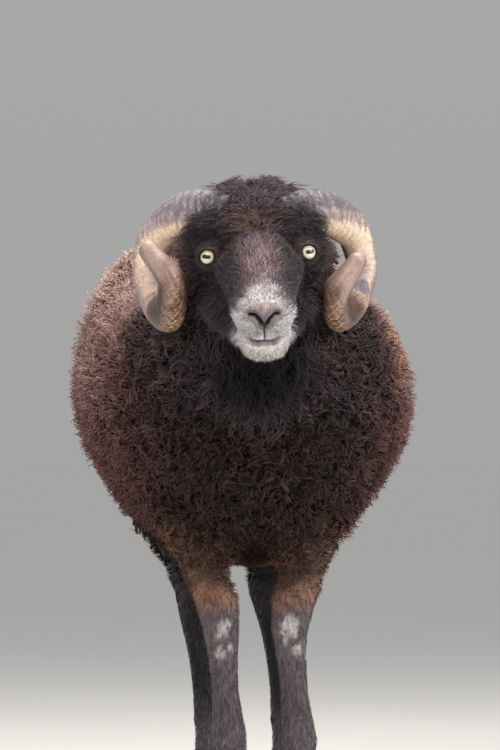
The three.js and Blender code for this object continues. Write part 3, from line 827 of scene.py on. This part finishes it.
def markings(points, shares):
    """The colour of the coat at each point of the skin."""
    x, y, z = points.T
    y = y - TRUNK_MIDDLE
    side, nose, off = to_face(points).T
    flank = np.abs(x)
    over_brow = (points - BROW) @ CROWNWARD
    patchy, fine, tufted = drift(points, 26, 11), drift(points, 9, 12), drift(points, 15, 13)

    # dark wool with rusty ends at the sides of the neck, and blue-black hair at the throat
    rusty_ends = step(0.45, 1.2, patchy + 0.4 * fine) * step(40, 70, np.abs(x + 12)) * 0.7
    rusty_lock = mound(x, 53, 13) * mound(z + 0.4 * x, 423, 14) * step(-0.6, 0.5, fine) * 0.8
    neck = layered(NECK, (RUST * 0.6, rusty_ends), (RUST * 0.9, rusty_lock))
    ruff = step(-130, -185, y) * step(352, 400, z) * step(128, 98, flank)
    ruff = np.maximum(step(-190, -225, y) * step(330, 370, z), ruff)
    throat = step(-180, -215, y)
    bib = step(44, 22, np.abs(x + 8) + 6 * patchy) * step(350, 378, z) * step(470, 430, z) * throat

    down_ear = off - 1 + 0.79 * (np.abs(side) - 45)
    ear = layered(EAR * 0.3, (EAR, mound(down_ear, 1, 5) * (side < 0)))
    rusty_brow = mound(side, -5, 10) * mound(over_brow, 25, 7) * region(shares, "topknot", "head")
    sleeve = step(-20, -60, y) * step(170, 186, z) * step(246, 216, z + 12 * patchy - 0.25 * flank)
    sleeve = sleeve * step(8, 20, flank)

    coat = layered(
        CHEST,
        # brown flanks; back, shoulders and rump paler, partly bleached wool and partly painted light from
        # above and from the ram's left; and dark again along the lower edge
        (FLEECE, step(-205, -130, y + 20 * patchy)),
        (FLANK, step(70, 140, flank + 16 * patchy) * step(220, 300, z + 20 * fine)),
        (SUNLIT_BLEACH, step(385, 460, z + 18 * patchy) * step(-200, -90, y)),
        (SUNLIT_BLEACH * 0.75, step(112, 146, flank + 10 * patchy) * step(315, 400, z + 12 * fine) * 0.6),
        (SUNLIT_GOLD, step(105, 145, x + 10 * patchy) * step(365, 430, z + 12 * fine) * 0.65),
        (SUNLIT_PALE_RUMP, step(40, 150, y) * step(440, 485, z + 10 * patchy) * 0.8),
        (HEM, step(262, 215, z + 10 * patchy) * 0.8),
        (neck, np.maximum(region(shares, "neck"), ruff)),
        (MANE, bib),
        # painted shadow under the chin
        (DEEP_SHADE, mound(x, -8, 38) * mound(z, 398, 17) * throat),
        (FLANK, region(shares, "tail")),
        (head_markings(side, nose, off, patchy, fine), region(shares, "head", "lower_jaw")),
        (KNOT, region(shares, "topknot")),
        (RUST * 1.05, rusty_brow * 0.9),
        (ear, region(shares, "ear_")),
        (leg_markings(points, y, fine), region(shares, "leg_") * step(225, 195, z)),
        (LEG_WOOL * 0.8, sleeve),
    )
    woolly = region(shares, "trunk", "neck", "tail", "upper")
    light = 1 + (0.1 + 0.12 * woolly) * fine + 0.1 * patchy + 0.2 * woolly * tufted
    return np.clip(coat * light[:, None], 0.002, 1)


def grizzled(points, shares):
    """How many of the hairs are white at each point, down the nose and over the brow."""
    side, nose, off = to_face(points).T
    band = mound(side, 0.5, 11) * step(15, 45, nose) * step(2, 10, off)
    return region(shares, "head") * (0.003 + band * (0.03 + 0.3 * step(50, 90, nose)))


def bare_marks(points, colour, lines):
    """Painted shade in the nostrils, along the line of the mouth and in the groove below the nose; the bare
    lower lip and the rims of the eyes.
    """
    side, nose, off = to_face(points).T
    wide = np.abs(side)
    gap, over = lines["nostril"], lines["over_nostril"]
    wet = mound(side, 0, 4.2) * mound(off, -9.5, 4.5) * step(98, 104, nose)
    lip, over_lip = lines["lip"], lines["over_lip"]
    lips = step(6.4, 3.2, lip)
    colour = layered(
        colour,
        (WING, step(8.5, 3.5, gap - 2.2 * step(0, -2, over)) * 0.85),
        (WET_NOSE, wet * 0.9),
        (DEEP_SHADE, 1.5 * np.exp(-((gap / 1.55) ** 4))),
        (WHITE * 0.45, lips * step(8, 12, wide) * step(20, 15, wide) * 0.6),
        (LIP, lips * step(0, -1.5, over_lip) * step(17, 9, wide) * 0.9),
        # painted shadow along the line of the mouth
        (MOUTH_SHADOW, 1.1 * mound(lip, 0, 1.1) * step(17, 10, wide)),
        (DEEP_SHADE, philtrum(side, nose, off) * 1.2),
    )
    for name in SIDES:
        shape, reach, across, _ = opening(points, name)
        corner = step(-6, -9, across) * step(-15, -11, across) * step(2.3, 1.3, shape) * (reach < 22)
        rim = step(1.17, 1.05, shape) * (reach < 20)
        colour = layered(colour, (LID_RIM, rim), (EYE_CORNER, corner * 0.7))
    return colour


# ---------------------------------------------------------------- strands of wool and hair

ANY_PHASE = (0, 6.28)  # of a wave, in radians
BEND = 1.7  # how sharply a strand bends over along the skin after it has risen
LOOSE = 0.08  # share of the strands that stay out of their lock
PATCH = 0.003  # size of each strand's place on the skin's unwrap


class Skin:
    """The finished skin as triangles, for setting the roots of the coat."""

    def __init__(self, body, shares, depth):
        mesh = body.data
        mesh.calc_loop_triangles()
        count = len(mesh.loop_triangles)
        self.corner = np.empty(count * 3, np.int64)
        mesh.loop_triangles.foreach_get("vertices", self.corner)
        self.corner = self.corner.reshape(-1, 3)
        loops = np.empty(count * 3, np.int64)
        mesh.loop_triangles.foreach_get("loops", loops)
        place = np.empty(len(mesh.loops) * 2)
        mesh.uv_layers["OFBake"].uv.foreach_get("vector", place)
        self.unwrap = place.reshape(-1, 2)[loops].reshape(-1, 3, 2)
        self.points = coordinates(mesh)
        self.normals = normals_of(mesh)
        self.shares = shares
        self.depth = depth
        a, b, c = (self.points[self.corner[:, i]] for i in range(3))
        self.area = np.linalg.norm(np.cross(b - a, c - a), axis=1) / 2

    def roots(self, count, density, trim, seed):
        """Random roots, as many to each area as density says (a number for every vertex, as trim is)."""
        random = np.random.default_rng(seed)
        weight = self.area * np.clip(density[self.corner].mean(axis=1), 0, None)
        edge = np.cumsum(weight)
        at = (np.arange(count) + random.random(count)) / count * edge[-1]
        chosen = np.clip(np.searchsorted(edge, at), 0, len(edge) - 1)
        r, s = np.sqrt(random.random(count)), random.random(count)
        mix = np.stack([1 - r, r * (1 - s), r * s], axis=1)

        def carried(values):
            return np.einsum("ij,ij...->i...", mix, values[self.corner[chosen]])

        return {
            "point": carried(self.points),
            "normal": unit(carried(self.normals)),
            "shares": carried(self.shares),
            "depth": carried(self.depth),
            "trim": carried(trim),
            "patch": np.einsum("ij,ijk->ik", mix, self.unwrap[chosen]),
        }


def nearest_of(places, guides):
    tree = KDTree(len(guides))
    for i, guide in enumerate(guides):
        tree.insert(Vector(guide), i)
    tree.balance()
    return np.array([tree.find(Vector(p))[1] for p in places])


def grow(roots, lie, length, lift, segments, seed,
         swing=0.3, curl=0.0, waves=1.2, gather=0, hold=0.8, spread=0.3):
    """The centre line of each strand: out from the skin, bending over along the lie, waved, and gathered
    with its neighbours into locks of about `gather` strands. `lift` is the height that the tip reaches."""
    random = np.random.default_rng(seed)
    point, normal = roots["point"], roots["normal"]
    count = len(point)
    t = np.linspace(0, 1, segments + 1)

    def lines(point, normal, lie, length, lift, phase):
        turn = random.normal(0, swing, len(point))[:, None]
        way = unit(lie * np.cos(turn) + np.cross(normal, lie) * np.sin(turn))
        side = np.cross(normal, way)
        rise = np.minimum(lift * random.uniform(0.78, 1.12, len(point)), length * 0.97)
        run = np.sqrt(np.maximum(length**2 - rise**2, 0.01))
        out = rise[:, None] * (1 - (1 - t) ** BEND)
        along = run[:, None] * t**BEND
        turning = FULL_TURN * waves * t + phase[:, None]
        sideways = curl * t**0.7 * (np.sin(turning) - np.sin(phase)[:, None])
        outward = curl * t**0.7 * (np.cos(turning) - np.cos(phase)[:, None]) / 2
        line = point[:, None] + normal[:, None] * (out + outward)[..., None]
        return line + way[:, None] * along[..., None] + side[:, None] * sideways[..., None]

    length = length * random.uniform(0.8, 1.15, count)
    if not gather:
        return lines(point, normal, lie, length, lift, random.uniform(*ANY_PHASE, count))
    guides = random.choice(count, max(count // gather, 1), replace=False)
    owner = nearest_of(point, point[guides])
    phase = random.uniform(*ANY_PHASE, len(guides))
    lead = lines(point[guides], normal[guides], lie[guides], length[guides], lift[guides], phase)
    own = lines(point, normal, lie, length, lift, phase[owner] + random.normal(0, 0.7, count))
    led = lead[owner] + (point - point[guides][owner])[:, None] * spread
    held = np.where(random.random(count) < LOOSE, 0.15, hold) * random.uniform(0.75, 1.1, count)
    share = held[:, None, None] * (t**0.8)[None, :, None]
    return own * (1 - share) + led * np.clip(share, 0, 1)


def strands(name, lines, thick, colour, roots, seed,
            tip=1.3, root=0.4, taper=0.62, sides=3, flat=1.0, blunt=0.0, uneven=0.22):
    """Solid strands on the given centre lines, closed at the root and pointed at the tip, which are `tip` and
    `root` times as light as their colour. With `flat` below 1 they are broad locks that lie flat to the skin;
    `blunt` rounds their tips."""
    random = np.random.default_rng(seed)
    lines[:, -2] += (lines[:, -1] - lines[:, -2]) * blunt
    count, rings = lines.shape[0], lines.shape[1] - 1
    before, after = np.arange(rings + 1) - 1, np.arange(rings + 1) + 1
    way = unit(lines[:, np.minimum(after, rings)] - lines[:, np.maximum(before, 0)])
    up = roots["normal"][:, None] if flat < 1 else unit(random.normal(size=(count, 1, 3)))
    first = unit(np.cross(way, up))
    second = np.cross(way, first)
    t = np.linspace(0, 1, rings + 1)[:-1]
    radius = (thick[:, None] * (1 - (1 - taper) * t) * np.where(t > 0.7, 0.8, 1))[..., None]
    angle = FULL_TURN * np.arange(sides) / sides
    ring = lines[:, :-1, None] + first[:, :-1, None] * (radius * np.cos(angle))[..., None]
    ring = ring + second[:, :-1, None] * (radius * np.sin(angle) * flat)[..., None]
    points = np.concatenate([ring.reshape(count, rings * sides, 3), lines[:, -1:]], axis=1)

    # painted shade: each strand darkens towards its root, where its neighbours shade it; its paler tip is
    # partly weathered wool
    shade = np.append(np.repeat(root + (tip - root) * t**0.9, sides), tip)
    tone = random.lognormal(0, uneven, count)
    colours = colour[:, None] * shade[None, :, None] * tone[:, None, None]
    turn = np.append(np.tile(np.arange(sides) / (sides - 1), rings), 0.5)
    along = np.append(np.repeat(t, sides), 1)
    patch = roots["patch"][:, None] + (np.stack([turn, along], axis=1) - 0.5)[None] * PATCH
    return new_piece(
        name,
        points.reshape(-1, 3),
        strand_faces(count, rings, sides),
        colours=np.clip(colours, 0.001, 1).reshape(-1, 3),
        patches=patch.reshape(-1, 2),
    )


def lie_of_coat(point, normal, shares):
    """The way the coat lies: back and down on the body, up the face, down the legs."""
    x = point[:, 0]
    side, nose, off = to_face(point).T
    outward = LEFTWARD * side[:, None]

    def turned(way, other, share):
        return way * (1 - share[:, None]) + other * share[:, None]

    body = np.array([0, 0.55, -1.0]) + step(0, 1, np.abs(x) / 100)[:, None] * np.array([0, 0.15, 0])
    body = turned(body, np.array([0, 1, -0.1]), step(0.5, 0.9, normal[:, 2]))
    down_breast = np.stack([x / 260, np.zeros(len(x)), -np.ones(len(x))], 1)
    body = turned(body, down_breast, step(-0.2, -0.7, normal[:, 1]))
    head = -DOWN_NOSE + outward / 45 * 0.8
    head = turned(head, DOWN * 0.9 - DOWN_NOSE * 0.5 + outward / 60, step(-6, -26, off))
    head = turned(head, unit(point - from_face([0, 112, 0]) - DOWN_NOSE * 6), step(72, 92, nose))
    for eye in eye_centre.values():
        head = turned(head, unit(point - eye), step(34, 16, np.linalg.norm(point - eye, axis=1)))
    knot = outward / 24 + CROWNWARD * 0.35 - BACKWARD * 0.25
    leg = np.array([0, 0.1, -1.0])
    ear = LEFTWARD * np.sign(side)[:, None] + BACKWARD * 0.6 - CROWNWARD * 0.2
    ways = [(body, ("trunk", "neck")), (leg, ("leg_",)), (head, ("head", "lower_jaw")), (knot, ("topknot",)),
            (ear, ("ear_",)), (DOWN, ("tail",))]
    return across_surface(sum(way * region(shares, *names)[:, None] for way, names in ways), normal)


# ---------------------------------------------------------------- materials


def add(tree, kind, sockets=None, **settings):
    """Adds a shader node, sets its settings and fills or links its sockets. A node given for a socket stands
    for its first output."""
    made = tree.nodes.new("ShaderNode" + kind)
    for key, value in settings.items():
        setattr(made, key, value)
    for socket, value in (sockets or {}).items():
        if isinstance(value, bpy.types.Node):
            value = value.outputs[0]
        if isinstance(value, bpy.types.NodeSocket):
            tree.links.new(value, made.inputs[socket])
        else:
            made.inputs[socket].default_value = value
    return made


def material(name):
    """A new material, its tree, and the places on the model in metres."""
    made = bpy.data.materials.new(name)
    made.use_nodes = True
    made.node_tree.nodes.clear()
    return made, made.node_tree, add(made.node_tree, "TexCoord").outputs["Object"]


def surfaced(made, sockets):
    shader = add(made.node_tree, "BsdfPrincipled", sockets)
    add(made.node_tree, "OutputMaterial", {"Surface": shader})
    return made


def span(low, high, first, last):
    """Sockets for a range that goes from first to last where its value goes from low to high."""
    return {"From Min": low, "From Max": high, "To Min": first, "To Max": last}


def toned(tree, grain, low, high, dark, pale):
    """The colours kept on the mesh, from `dark` to `pale` times as light where the grain goes from low
    to high."""
    pigment = add(tree, "Attribute", attribute_name="coat_colour")
    light = add(tree, "MapRange", {"Value": grain, **span(low, high, dark, pale)})
    return add(tree, "VectorMath", {0: pigment, 1: light}, operation="MULTIPLY")


def opaque(colour):
    return (*colour, 1)


def hair_material(name, roughness, shine, sheen, fibre, contrast=0.35, crimp=0.0):
    """Hair or wool: keratin fibre, rough to the eye as each strand is a bundle of many, with a soft sheen
    where light grazes it. Its pigment is on the strands; noise at the width of a fibre bundle streaks it, and
    `crimp` raises it as the fine waves of wool."""
    made, tree, place = material(name)
    streak = add(tree, "TexNoise", {"Vector": place, "Scale": 1000 / fibre, "Detail": 3.0, "Distortion": 0.8})
    sockets = {
        "Base Color": toned(tree, streak, 0.3, 0.7, 1 - contrast, 1 + contrast),
        "Roughness": roughness, "IOR": 1.55, "Specular IOR Level": shine,
        "Sheen Weight": sheen, "Sheen Roughness": 0.45,
    }
    if crimp:
        sockets["Normal"] = add(tree, "Bump", {"Strength": crimp, "Distance": 0.0015, "Height": streak})
    return surfaced(made, sockets)


def skin_material():
    """Hide under the coat, with the short flat hair of face and legs as streaks of bump and tone."""
    made, tree, place = material("haired hide")
    down = add(tree, "Mapping", {"Vector": place, "Scale": (1, 1, 0.35)})
    # short hairs are about 0.1 mm thick; they are drawn in streaks of about 1 mm so that they show
    hairs = add(tree, "TexNoise", {"Vector": down, "Scale": 900.0, "Detail": 3.0})
    tufts = add(tree, "TexNoise", {"Vector": down, "Scale": 260.0, "Detail": 2.0})
    both = add(tree, "Math", {0: hairs, 1: tufts}, operation="ADD")
    return surfaced(made, {
        "Base Color": toned(tree, both, 0.7, 1.3, 0.6, 1.3),
        "Roughness": 0.72, "IOR": 1.5, "Specular IOR Level": 0.3,
        "Sheen Weight": 0.15, "Sheen Roughness": 0.5,
        "Normal": add(tree, "Bump", {"Strength": 0.55, "Distance": 0.001, "Height": both}),
    })


def horn_material():
    """Horn sheath: keratin grown in layers, half matt from weather. Fine fibres run along it, and dark and
    pale flecks a millimetre or two across lie in it."""
    made, tree, place = material("grown horn")
    fleck = add(tree, "TexNoise", {"Vector": place, "Scale": 420.0, "Detail": 4.0})
    fibre = add(tree, "TexNoise", {"Vector": place, "Scale": 900.0, "Detail": 2.0, "Distortion": 0.6})
    rough = add(tree, "MapRange", {"Value": fibre, **span(0.3, 0.7, 0.36, 0.5)})
    return surfaced(made, {
        "Base Color": toned(tree, fleck, 0.32, 0.68, 0.8, 1.18),
        "Roughness": rough, "IOR": 1.55, "Specular IOR Level": 0.45,
        "Normal": add(tree, "Bump", {"Strength": 0.12, "Distance": 0.0006, "Height": fibre}),
    })


def eye_material():
    """A wet eyeball: the iris in its own colours under a clear, mirror-smooth film."""
    made, tree, place = material("wet eye")
    fibres = add(tree, "TexNoise", {"Vector": place, "Scale": 1600.0, "Detail": 3.0})
    return surfaced(made, {
        "Base Color": toned(tree, fibres, 0.3, 0.7, 0.85, 1.12),
        "Roughness": 0.35, "IOR": 1.38, "Coat Weight": 1.0, "Coat Roughness": 0.02, "Coat IOR": 1.38,
    })


HOOF_DARK = linear("#1d1816")
HOOF_PALE = linear("#4a3f38")
HOOF_DUST = linear("#6b5f52")


def hoof_material():
    """Hoof horn: dark, with growth lines round it a millimetre or two apart, scuffed matt low down."""
    made, tree, place = material("hoof horn")
    height = add(tree, "SeparateXYZ", {"Vector": place}).outputs["Z"]
    mottle = add(tree, "TexNoise", {"Vector": place, "Scale": 180.0, "Detail": 4.0})
    lines = add(tree, "TexWave", {"Vector": place, "Scale": 95.0, "Distortion": 2.0, "Detail": 2.0,
                                  "Detail Scale": 1.5}, bands_direction="Z").outputs["Fac"]
    tone = add(tree, "MixRGB", {"Fac": mottle, "Color1": opaque(HOOF_DARK), "Color2": opaque(HOOF_PALE)})
    dust = add(tree, "MapRange", {"Value": height, **span(0.012, 0.0, 0.0, 0.55)})
    return surfaced(made, {
        "Base Color": add(tree, "MixRGB", {"Fac": dust, "Color1": tone, "Color2": opaque(HOOF_DUST)}),
        "Roughness": 0.5, "IOR": 1.55,
        "Normal": add(tree, "Bump", {"Strength": 0.5, "Distance": 0.0006, "Height": lines}),
    })


# ---------------------------------------------------------------- the coat


def lay(surface, name, count, density, seed, look, length, thick, stand=1.0, over=0.0, lumps=0.0, trim=None,
        sideways=0.0, white=None, pieces=1, strand=None, **growth):
    """Grows one kind of coat where density says. Its tips reach `stand` times the coat's depth and `over`
    millimetres more, unevenly by `lumps`, and `trim` shortens it from place to place. `sideways` turns it
    away from the head's middle, and white(points, shares) gives the share of white hairs. `strand` goes to
    strands() and the rest to grow()."""
    trim = np.ones(len(surface.points)) if trim is None else trim
    roots = surface.roots(count, density, trim, seed)
    point, shares, trim = roots["point"], roots["shares"], roots["trim"]
    lie = lie_of_coat(point, roots["normal"], shares)
    if sideways:
        lie = across_surface(lie + LEFTWARD * np.sign(to_face(point)[:, :1]) * sideways, roots["normal"])
    colour = markings(point, shares)
    random = np.random.default_rng(seed + 1)
    if white:
        colour = layered(colour, (WHITE * 0.6, random.random(count) < white(point, shares)))
    length = length * random.uniform(0.85, 1.1, count) * trim
    lift = (roots["depth"] * stand + over * trim) * (1 + lumps * drift(point, 15, 13)) * (0.45 + 0.55 * trim)
    thick = thick * random.uniform(0.75, 1.2, count) * np.sqrt(trim)
    lines = grow(roots, lie, length, lift, seed=seed + 2, **growth)
    for i in range(pieces):  # the roots are in order along the body
        part = slice(count * i // pieces, count * (i + 1) // pieces)
        own_roots = {key: values[part] for key, values in roots.items()}
        made = strands(f"{name}_{i + 1}", lines[part], thick[part], colour[part], own_roots, seed + 3,
                       **(strand or {}))
        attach(made, "root")
        made.data.materials.append(look)


def lay_fleece(surface, look):
    """Curled wool over broad locks, shorter towards the hem."""
    height = surface.points[:, 2]
    body = region(surface.shares, "trunk", "tail", "neck")
    body = body + region(surface.shares, "leg_") * step(178, 196, height)
    hem = 0.32 + 0.68 * step(195, 272, height)
    # painted shade: the broad locks under the curled wool are drawn dark, at a third to a half of their
    # colour
    lay(surface, "fleece_locks", 5000, body * step(190, 225, height), 100, look, length=17, thick=2.4,
        stand=0.62, trim=hem, segments=4, swing=1.6, curl=2.0, waves=0.8,
        strand=dict(sides=5, flat=0.7, blunt=0.6, taper=0.9, root=0.35, tip=0.5))
    lay(surface, "fleece_crimp", 34000, body * (1 + step(250, 200, height)), 150, look, length=17, thick=0.62,
        stand=0.9, over=1.0, lumps=0.5, trim=hem, pieces=5, segments=4, swing=2.6, curl=3.3, waves=1.5,
        gather=9, hold=0.6, spread=0.85, strand=dict(root=0.62, tip=1.16, blunt=0.3, uneven=0.12))


def lay_long_hair(surface, look):
    """Hair down the breast, on the cheeks, on the topknot and forward over the brow."""
    x, y, z = surface.points.T
    side, nose, _ = to_face(surface.points).T
    wide = np.abs(side)
    eyes = from_eyes(surface.points)
    head, topknot = region(surface.shares, "head"), region(surface.shares, "topknot")
    narrow = step(42, 14, np.abs(x + 8) + 0.35 * (398 - z))
    bib = step(-165, -205, y - TRUNK_MIDDLE) * narrow * step(345, 372, z) * step(450, 415, z)
    lay(surface, "bib", 700, bib * region(surface.shares, "neck", "trunk"), 400, look, length=36, thick=0.4,
        stand=1.3, over=3, segments=6, swing=0.8, curl=4.2, waves=1.3, gather=5, hold=0.6, spread=0.5)
    woolly = (head + region(surface.shares, "lower_jaw")) * step(1.8, 6, surface.depth)
    lay(surface, "cheek_hair", 7000, woolly, 200, look, length=24, thick=0.5, over=1,
        trim=0.35 + 0.65 * step(2.5, 9, surface.depth), segments=3, swing=0.6, curl=1.6, waves=1.0,
        gather=4, hold=0.5, spread=0.5, strand=dict(root=0.55, tip=1.25, uneven=0.34))
    lay(surface, "topknot_hair", 3900, topknot, 300, look, length=28, thick=0.5, stand=0.8, over=2.5,
        lumps=0.6, trim=0.7 + 0.6 * step(8, 28, wide), segments=5, swing=3.2, curl=5.4, waves=1.2,
        gather=13, hold=0.7, spread=0.5, strand=dict(root=0.25, tip=1.9))
    brows = (head + topknot) * step(0.1, 0.5, surface.normals @ -BACKWARD) * step(15, 22, eyes)
    brows = brows * step(14, -10, nose) * (0.4 + 0.6 * step(8, 18, wide))
    lay(surface, "forelock", 3600, brows, 350, look, length=25, thick=0.42, stand=0.9, over=5.5, sideways=1.8,
        trim=(0.35 + 0.65 * step(10, -14, nose)) * (0.3 + 0.7 * step(15, 32, eyes)), segments=4, swing=0.8,
        curl=2.4, waves=1.0, gather=5, hold=0.5, spread=0.6, strand=dict(tip=1.6))


def lay_short_hair(surface, look, lines):
    """Hair on the face, shortest round the eyes, the nose and the lips, and on the legs and ears."""
    side, nose, off = to_face(surface.points).T
    wide = np.abs(side)
    head, jaw = region(surface.shares, "head"), region(surface.shares, "lower_jaw")
    legs = region(surface.shares, "leg_") * step(205, 178, surface.points[:, 2])
    lips = step(20, 13, wide)  # the hair closes over the corners of the mouth

    short = 1 - 0.5 * step(30, 75, nose) * step(-4, 6, off) - 0.5 * step(74, 92, nose) * step(-4, -10, off)
    short = short * (0.42 + 0.58 * step(13, 26, from_eyes(surface.points)))
    short = short * (0.45 + 0.55 * step(3, 12, lines["nostril"]))
    short = short * (1 - 0.55 * lips * step(10, 2, lines["lip"]))
    chin = jaw * step(-34, -44, off) * step(60, 80, nose)
    short = np.maximum(short, 0.7 * chin) * (1 - 0.2 * step(17, 25, wide) * step(70, 84, nose))

    openings = (opening(surface.points, name)[:2] for name in SIDES)
    lids = np.min([np.where(reach < 26, shape, 9) for shape, reach in openings], axis=0)
    nostril = lines["nostril"] - 1.8 * step(0, -2, lines["over_nostril"])
    clear = step(1.03, 1.15, lids) * step(3.0, 4.4, nostril) * (1 - nose_pad(side, nose, off))
    above, below = step(1.4, 2.6, lines["lip"]), step(4.5, 7.5, lines["lip"])
    clear = clear * (1 - lips * (1 - np.where(lines["over_lip"] > 0, above, below)))
    clear = clear * (1 - philtrum(side, nose, off, 2.6))
    flat_hair = (head + jaw) * step(8, 3.0, surface.depth) * step(0.4, 0.9, surface.depth)
    lay(surface, "face_hair", 14600, flat_hair * clear * (1 + step(70, 90, nose)), 500, look, length=11.5,
        thick=0.28, stand=0.9, over=0.9, trim=short, white=grizzled, segments=2, swing=0.4,
        strand=dict(root=0.65, tip=1.2, uneven=0.42))
    lay(surface, "leg_hair", 7500, legs, 600, look, length=8, thick=0.28, stand=0.6, segments=2, swing=0.2,
        strand=dict(root=0.8, tip=1.08))
    lay(surface, "ear_hair", 1500, region(surface.shares, "ear_"), 700, look, length=8, thick=0.3, stand=1.2,
        segments=2, swing=0.3)


# ---------------------------------------------------------------- camera, light and floor

RAM_FRONT = Vector((0, -0.1125, 0))  # metres, as are the camera's and the lights' places
STAND_OFF, CAMERA_HEIGHT = 5.0, 0.32
BEARING = math.radians(-4.5)  # of the camera from the ram
AIM = (math.radians(90.767), 0, math.radians(-4.43))
LENS = 261.6

STUDIO_LOW = np.array([0.376, 0.376, 0.373])  # linear light
STUDIO_HIGH = np.array([0.64, 0.645, 0.655])
# name, place, what it is aimed at, size, power and colour
PANELS = [
    ("overhead", (0.1, 0.1, 2.3), (0, -0.1, 0.3), (1.8, 1.3), 33, "#fff6ec"),
    ("front left", (-2.1, -2.4, 1.7), (0, -0.1, 0.35), (1.3, 1.3), 25, "#fffaf6"),
    ("front right", (2.5, -1.6, 1.5), (0, -0.1, 0.35), (1.3, 1.3), 37, "#fbf9fb"),
]
FLOOR_PALE = linear("#cac9c6")
FLOOR_DARK = linear("#c5c4c1")
FLOOR_SIZE = 200000  # mm to each side


def set_camera():
    """Low and square in front of the ram, as far as a long lens stands off."""
    camera = bpy.data.cameras.new("camera")
    camera.sensor_fit = "VERTICAL"
    camera.sensor_height = 36
    camera.lens = LENS
    camera.clip_end = 100
    made = link_mesh("camera", camera)
    away = Vector((math.sin(BEARING) * STAND_OFF, -math.cos(BEARING) * STAND_OFF, CAMERA_HEIGHT))
    made.location = RAM_FRONT + away
    made.rotation_euler = AIM
    bpy.context.scene.camera = made


def set_light():
    for name, place, target, size, power, colour in PANELS:
        light = bpy.data.lights.new(name, "AREA")
        light.shape = "RECTANGLE"
        light.size, light.size_y = size
        light.energy = power
        light.color = linear(colour)
        light.spread = math.radians(140)
        made = link_mesh(name, light)
        made.location = place
        made.rotation_euler = (Vector(target) - Vector(place)).to_track_quat("-Z", "Y").to_euler()

    # the studio is dimmer low down, so that the floor runs into it without a line
    world = bpy.data.worlds.new("studio")
    world.use_nodes = True
    tree = world.node_tree
    direction = add(tree, "TexCoord").outputs["Generated"]
    height = add(tree, "SeparateXYZ", {"Vector": direction}).outputs["Z"]
    rise = add(tree, "MapRange", {"Value": height, **span(0.0, 0.5, 0.0, 1.0)},
               interpolation_type="SMOOTHSTEP")
    shade = add(tree, "MixRGB", {"Fac": rise, "Color1": opaque(STUDIO_LOW), "Color2": opaque(STUDIO_HIGH)})
    tree.links.new(shade.outputs["Color"], tree.nodes["Background"].inputs["Color"])
    bpy.context.scene.world = world
    bpy.context.scene.view_settings.view_transform = "Standard"


def set_floor():
    """A matt painted studio floor."""
    made, tree, place = material("matt floor paint")
    mottle = add(tree, "TexNoise", {"Vector": place, "Scale": 3.0, "Detail": 3.0})
    tone = add(tree, "MixRGB", {"Fac": mottle, "Color1": opaque(FLOOR_PALE), "Color2": opaque(FLOOR_DARK)})
    surfaced(made, {"Base Color": tone, "Roughness": 0.9})
    corners = np.array([(-1, -1, 0), (1, -1, 0), (1, 1, 0), (-1, 1, 0)], float) * FLOOR_SIZE
    floor = new_piece("floor", corners, [np.arange(4)[None]])
    floor.data.materials.append(made)


# ---------------------------------------------------------------- the ram

set_camera()
set_light()
set_floor()

skin, shares, depth, lines = make_skin()
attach(skin, "root")
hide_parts(*FLESH)
skin_points = coordinates(skin.data)
skin_colour = bare_marks(skin_points, markings(skin_points, shares), lines)
# under deep wool the hide lies in the dark of the coat
paint(skin.data, skin_colour * (1 - 0.72 * step(3, 10, depth))[:, None])
skin.data.materials.append(skin_material())

for name in SIDES:
    make_horn(name)
    make_eye(name)
hoof = hoof_material()
for name, claw in nodes.items():
    if "claw" in name:
        claw.data.materials.clear()
        claw.data.materials.append(hoof)

surface = Skin(skin, shares, depth)
wool = hair_material("weathered wool", 0.9, 0.1, 0.03, 2.4, contrast=0.5, crimp=0.6)
hair = hair_material("dark hair", 0.5, 0.22, 0.02, 1.6)
lay_fleece(surface, wool)
lay_long_hair(surface, hair)
lay_short_hair(surface, hair, lines)
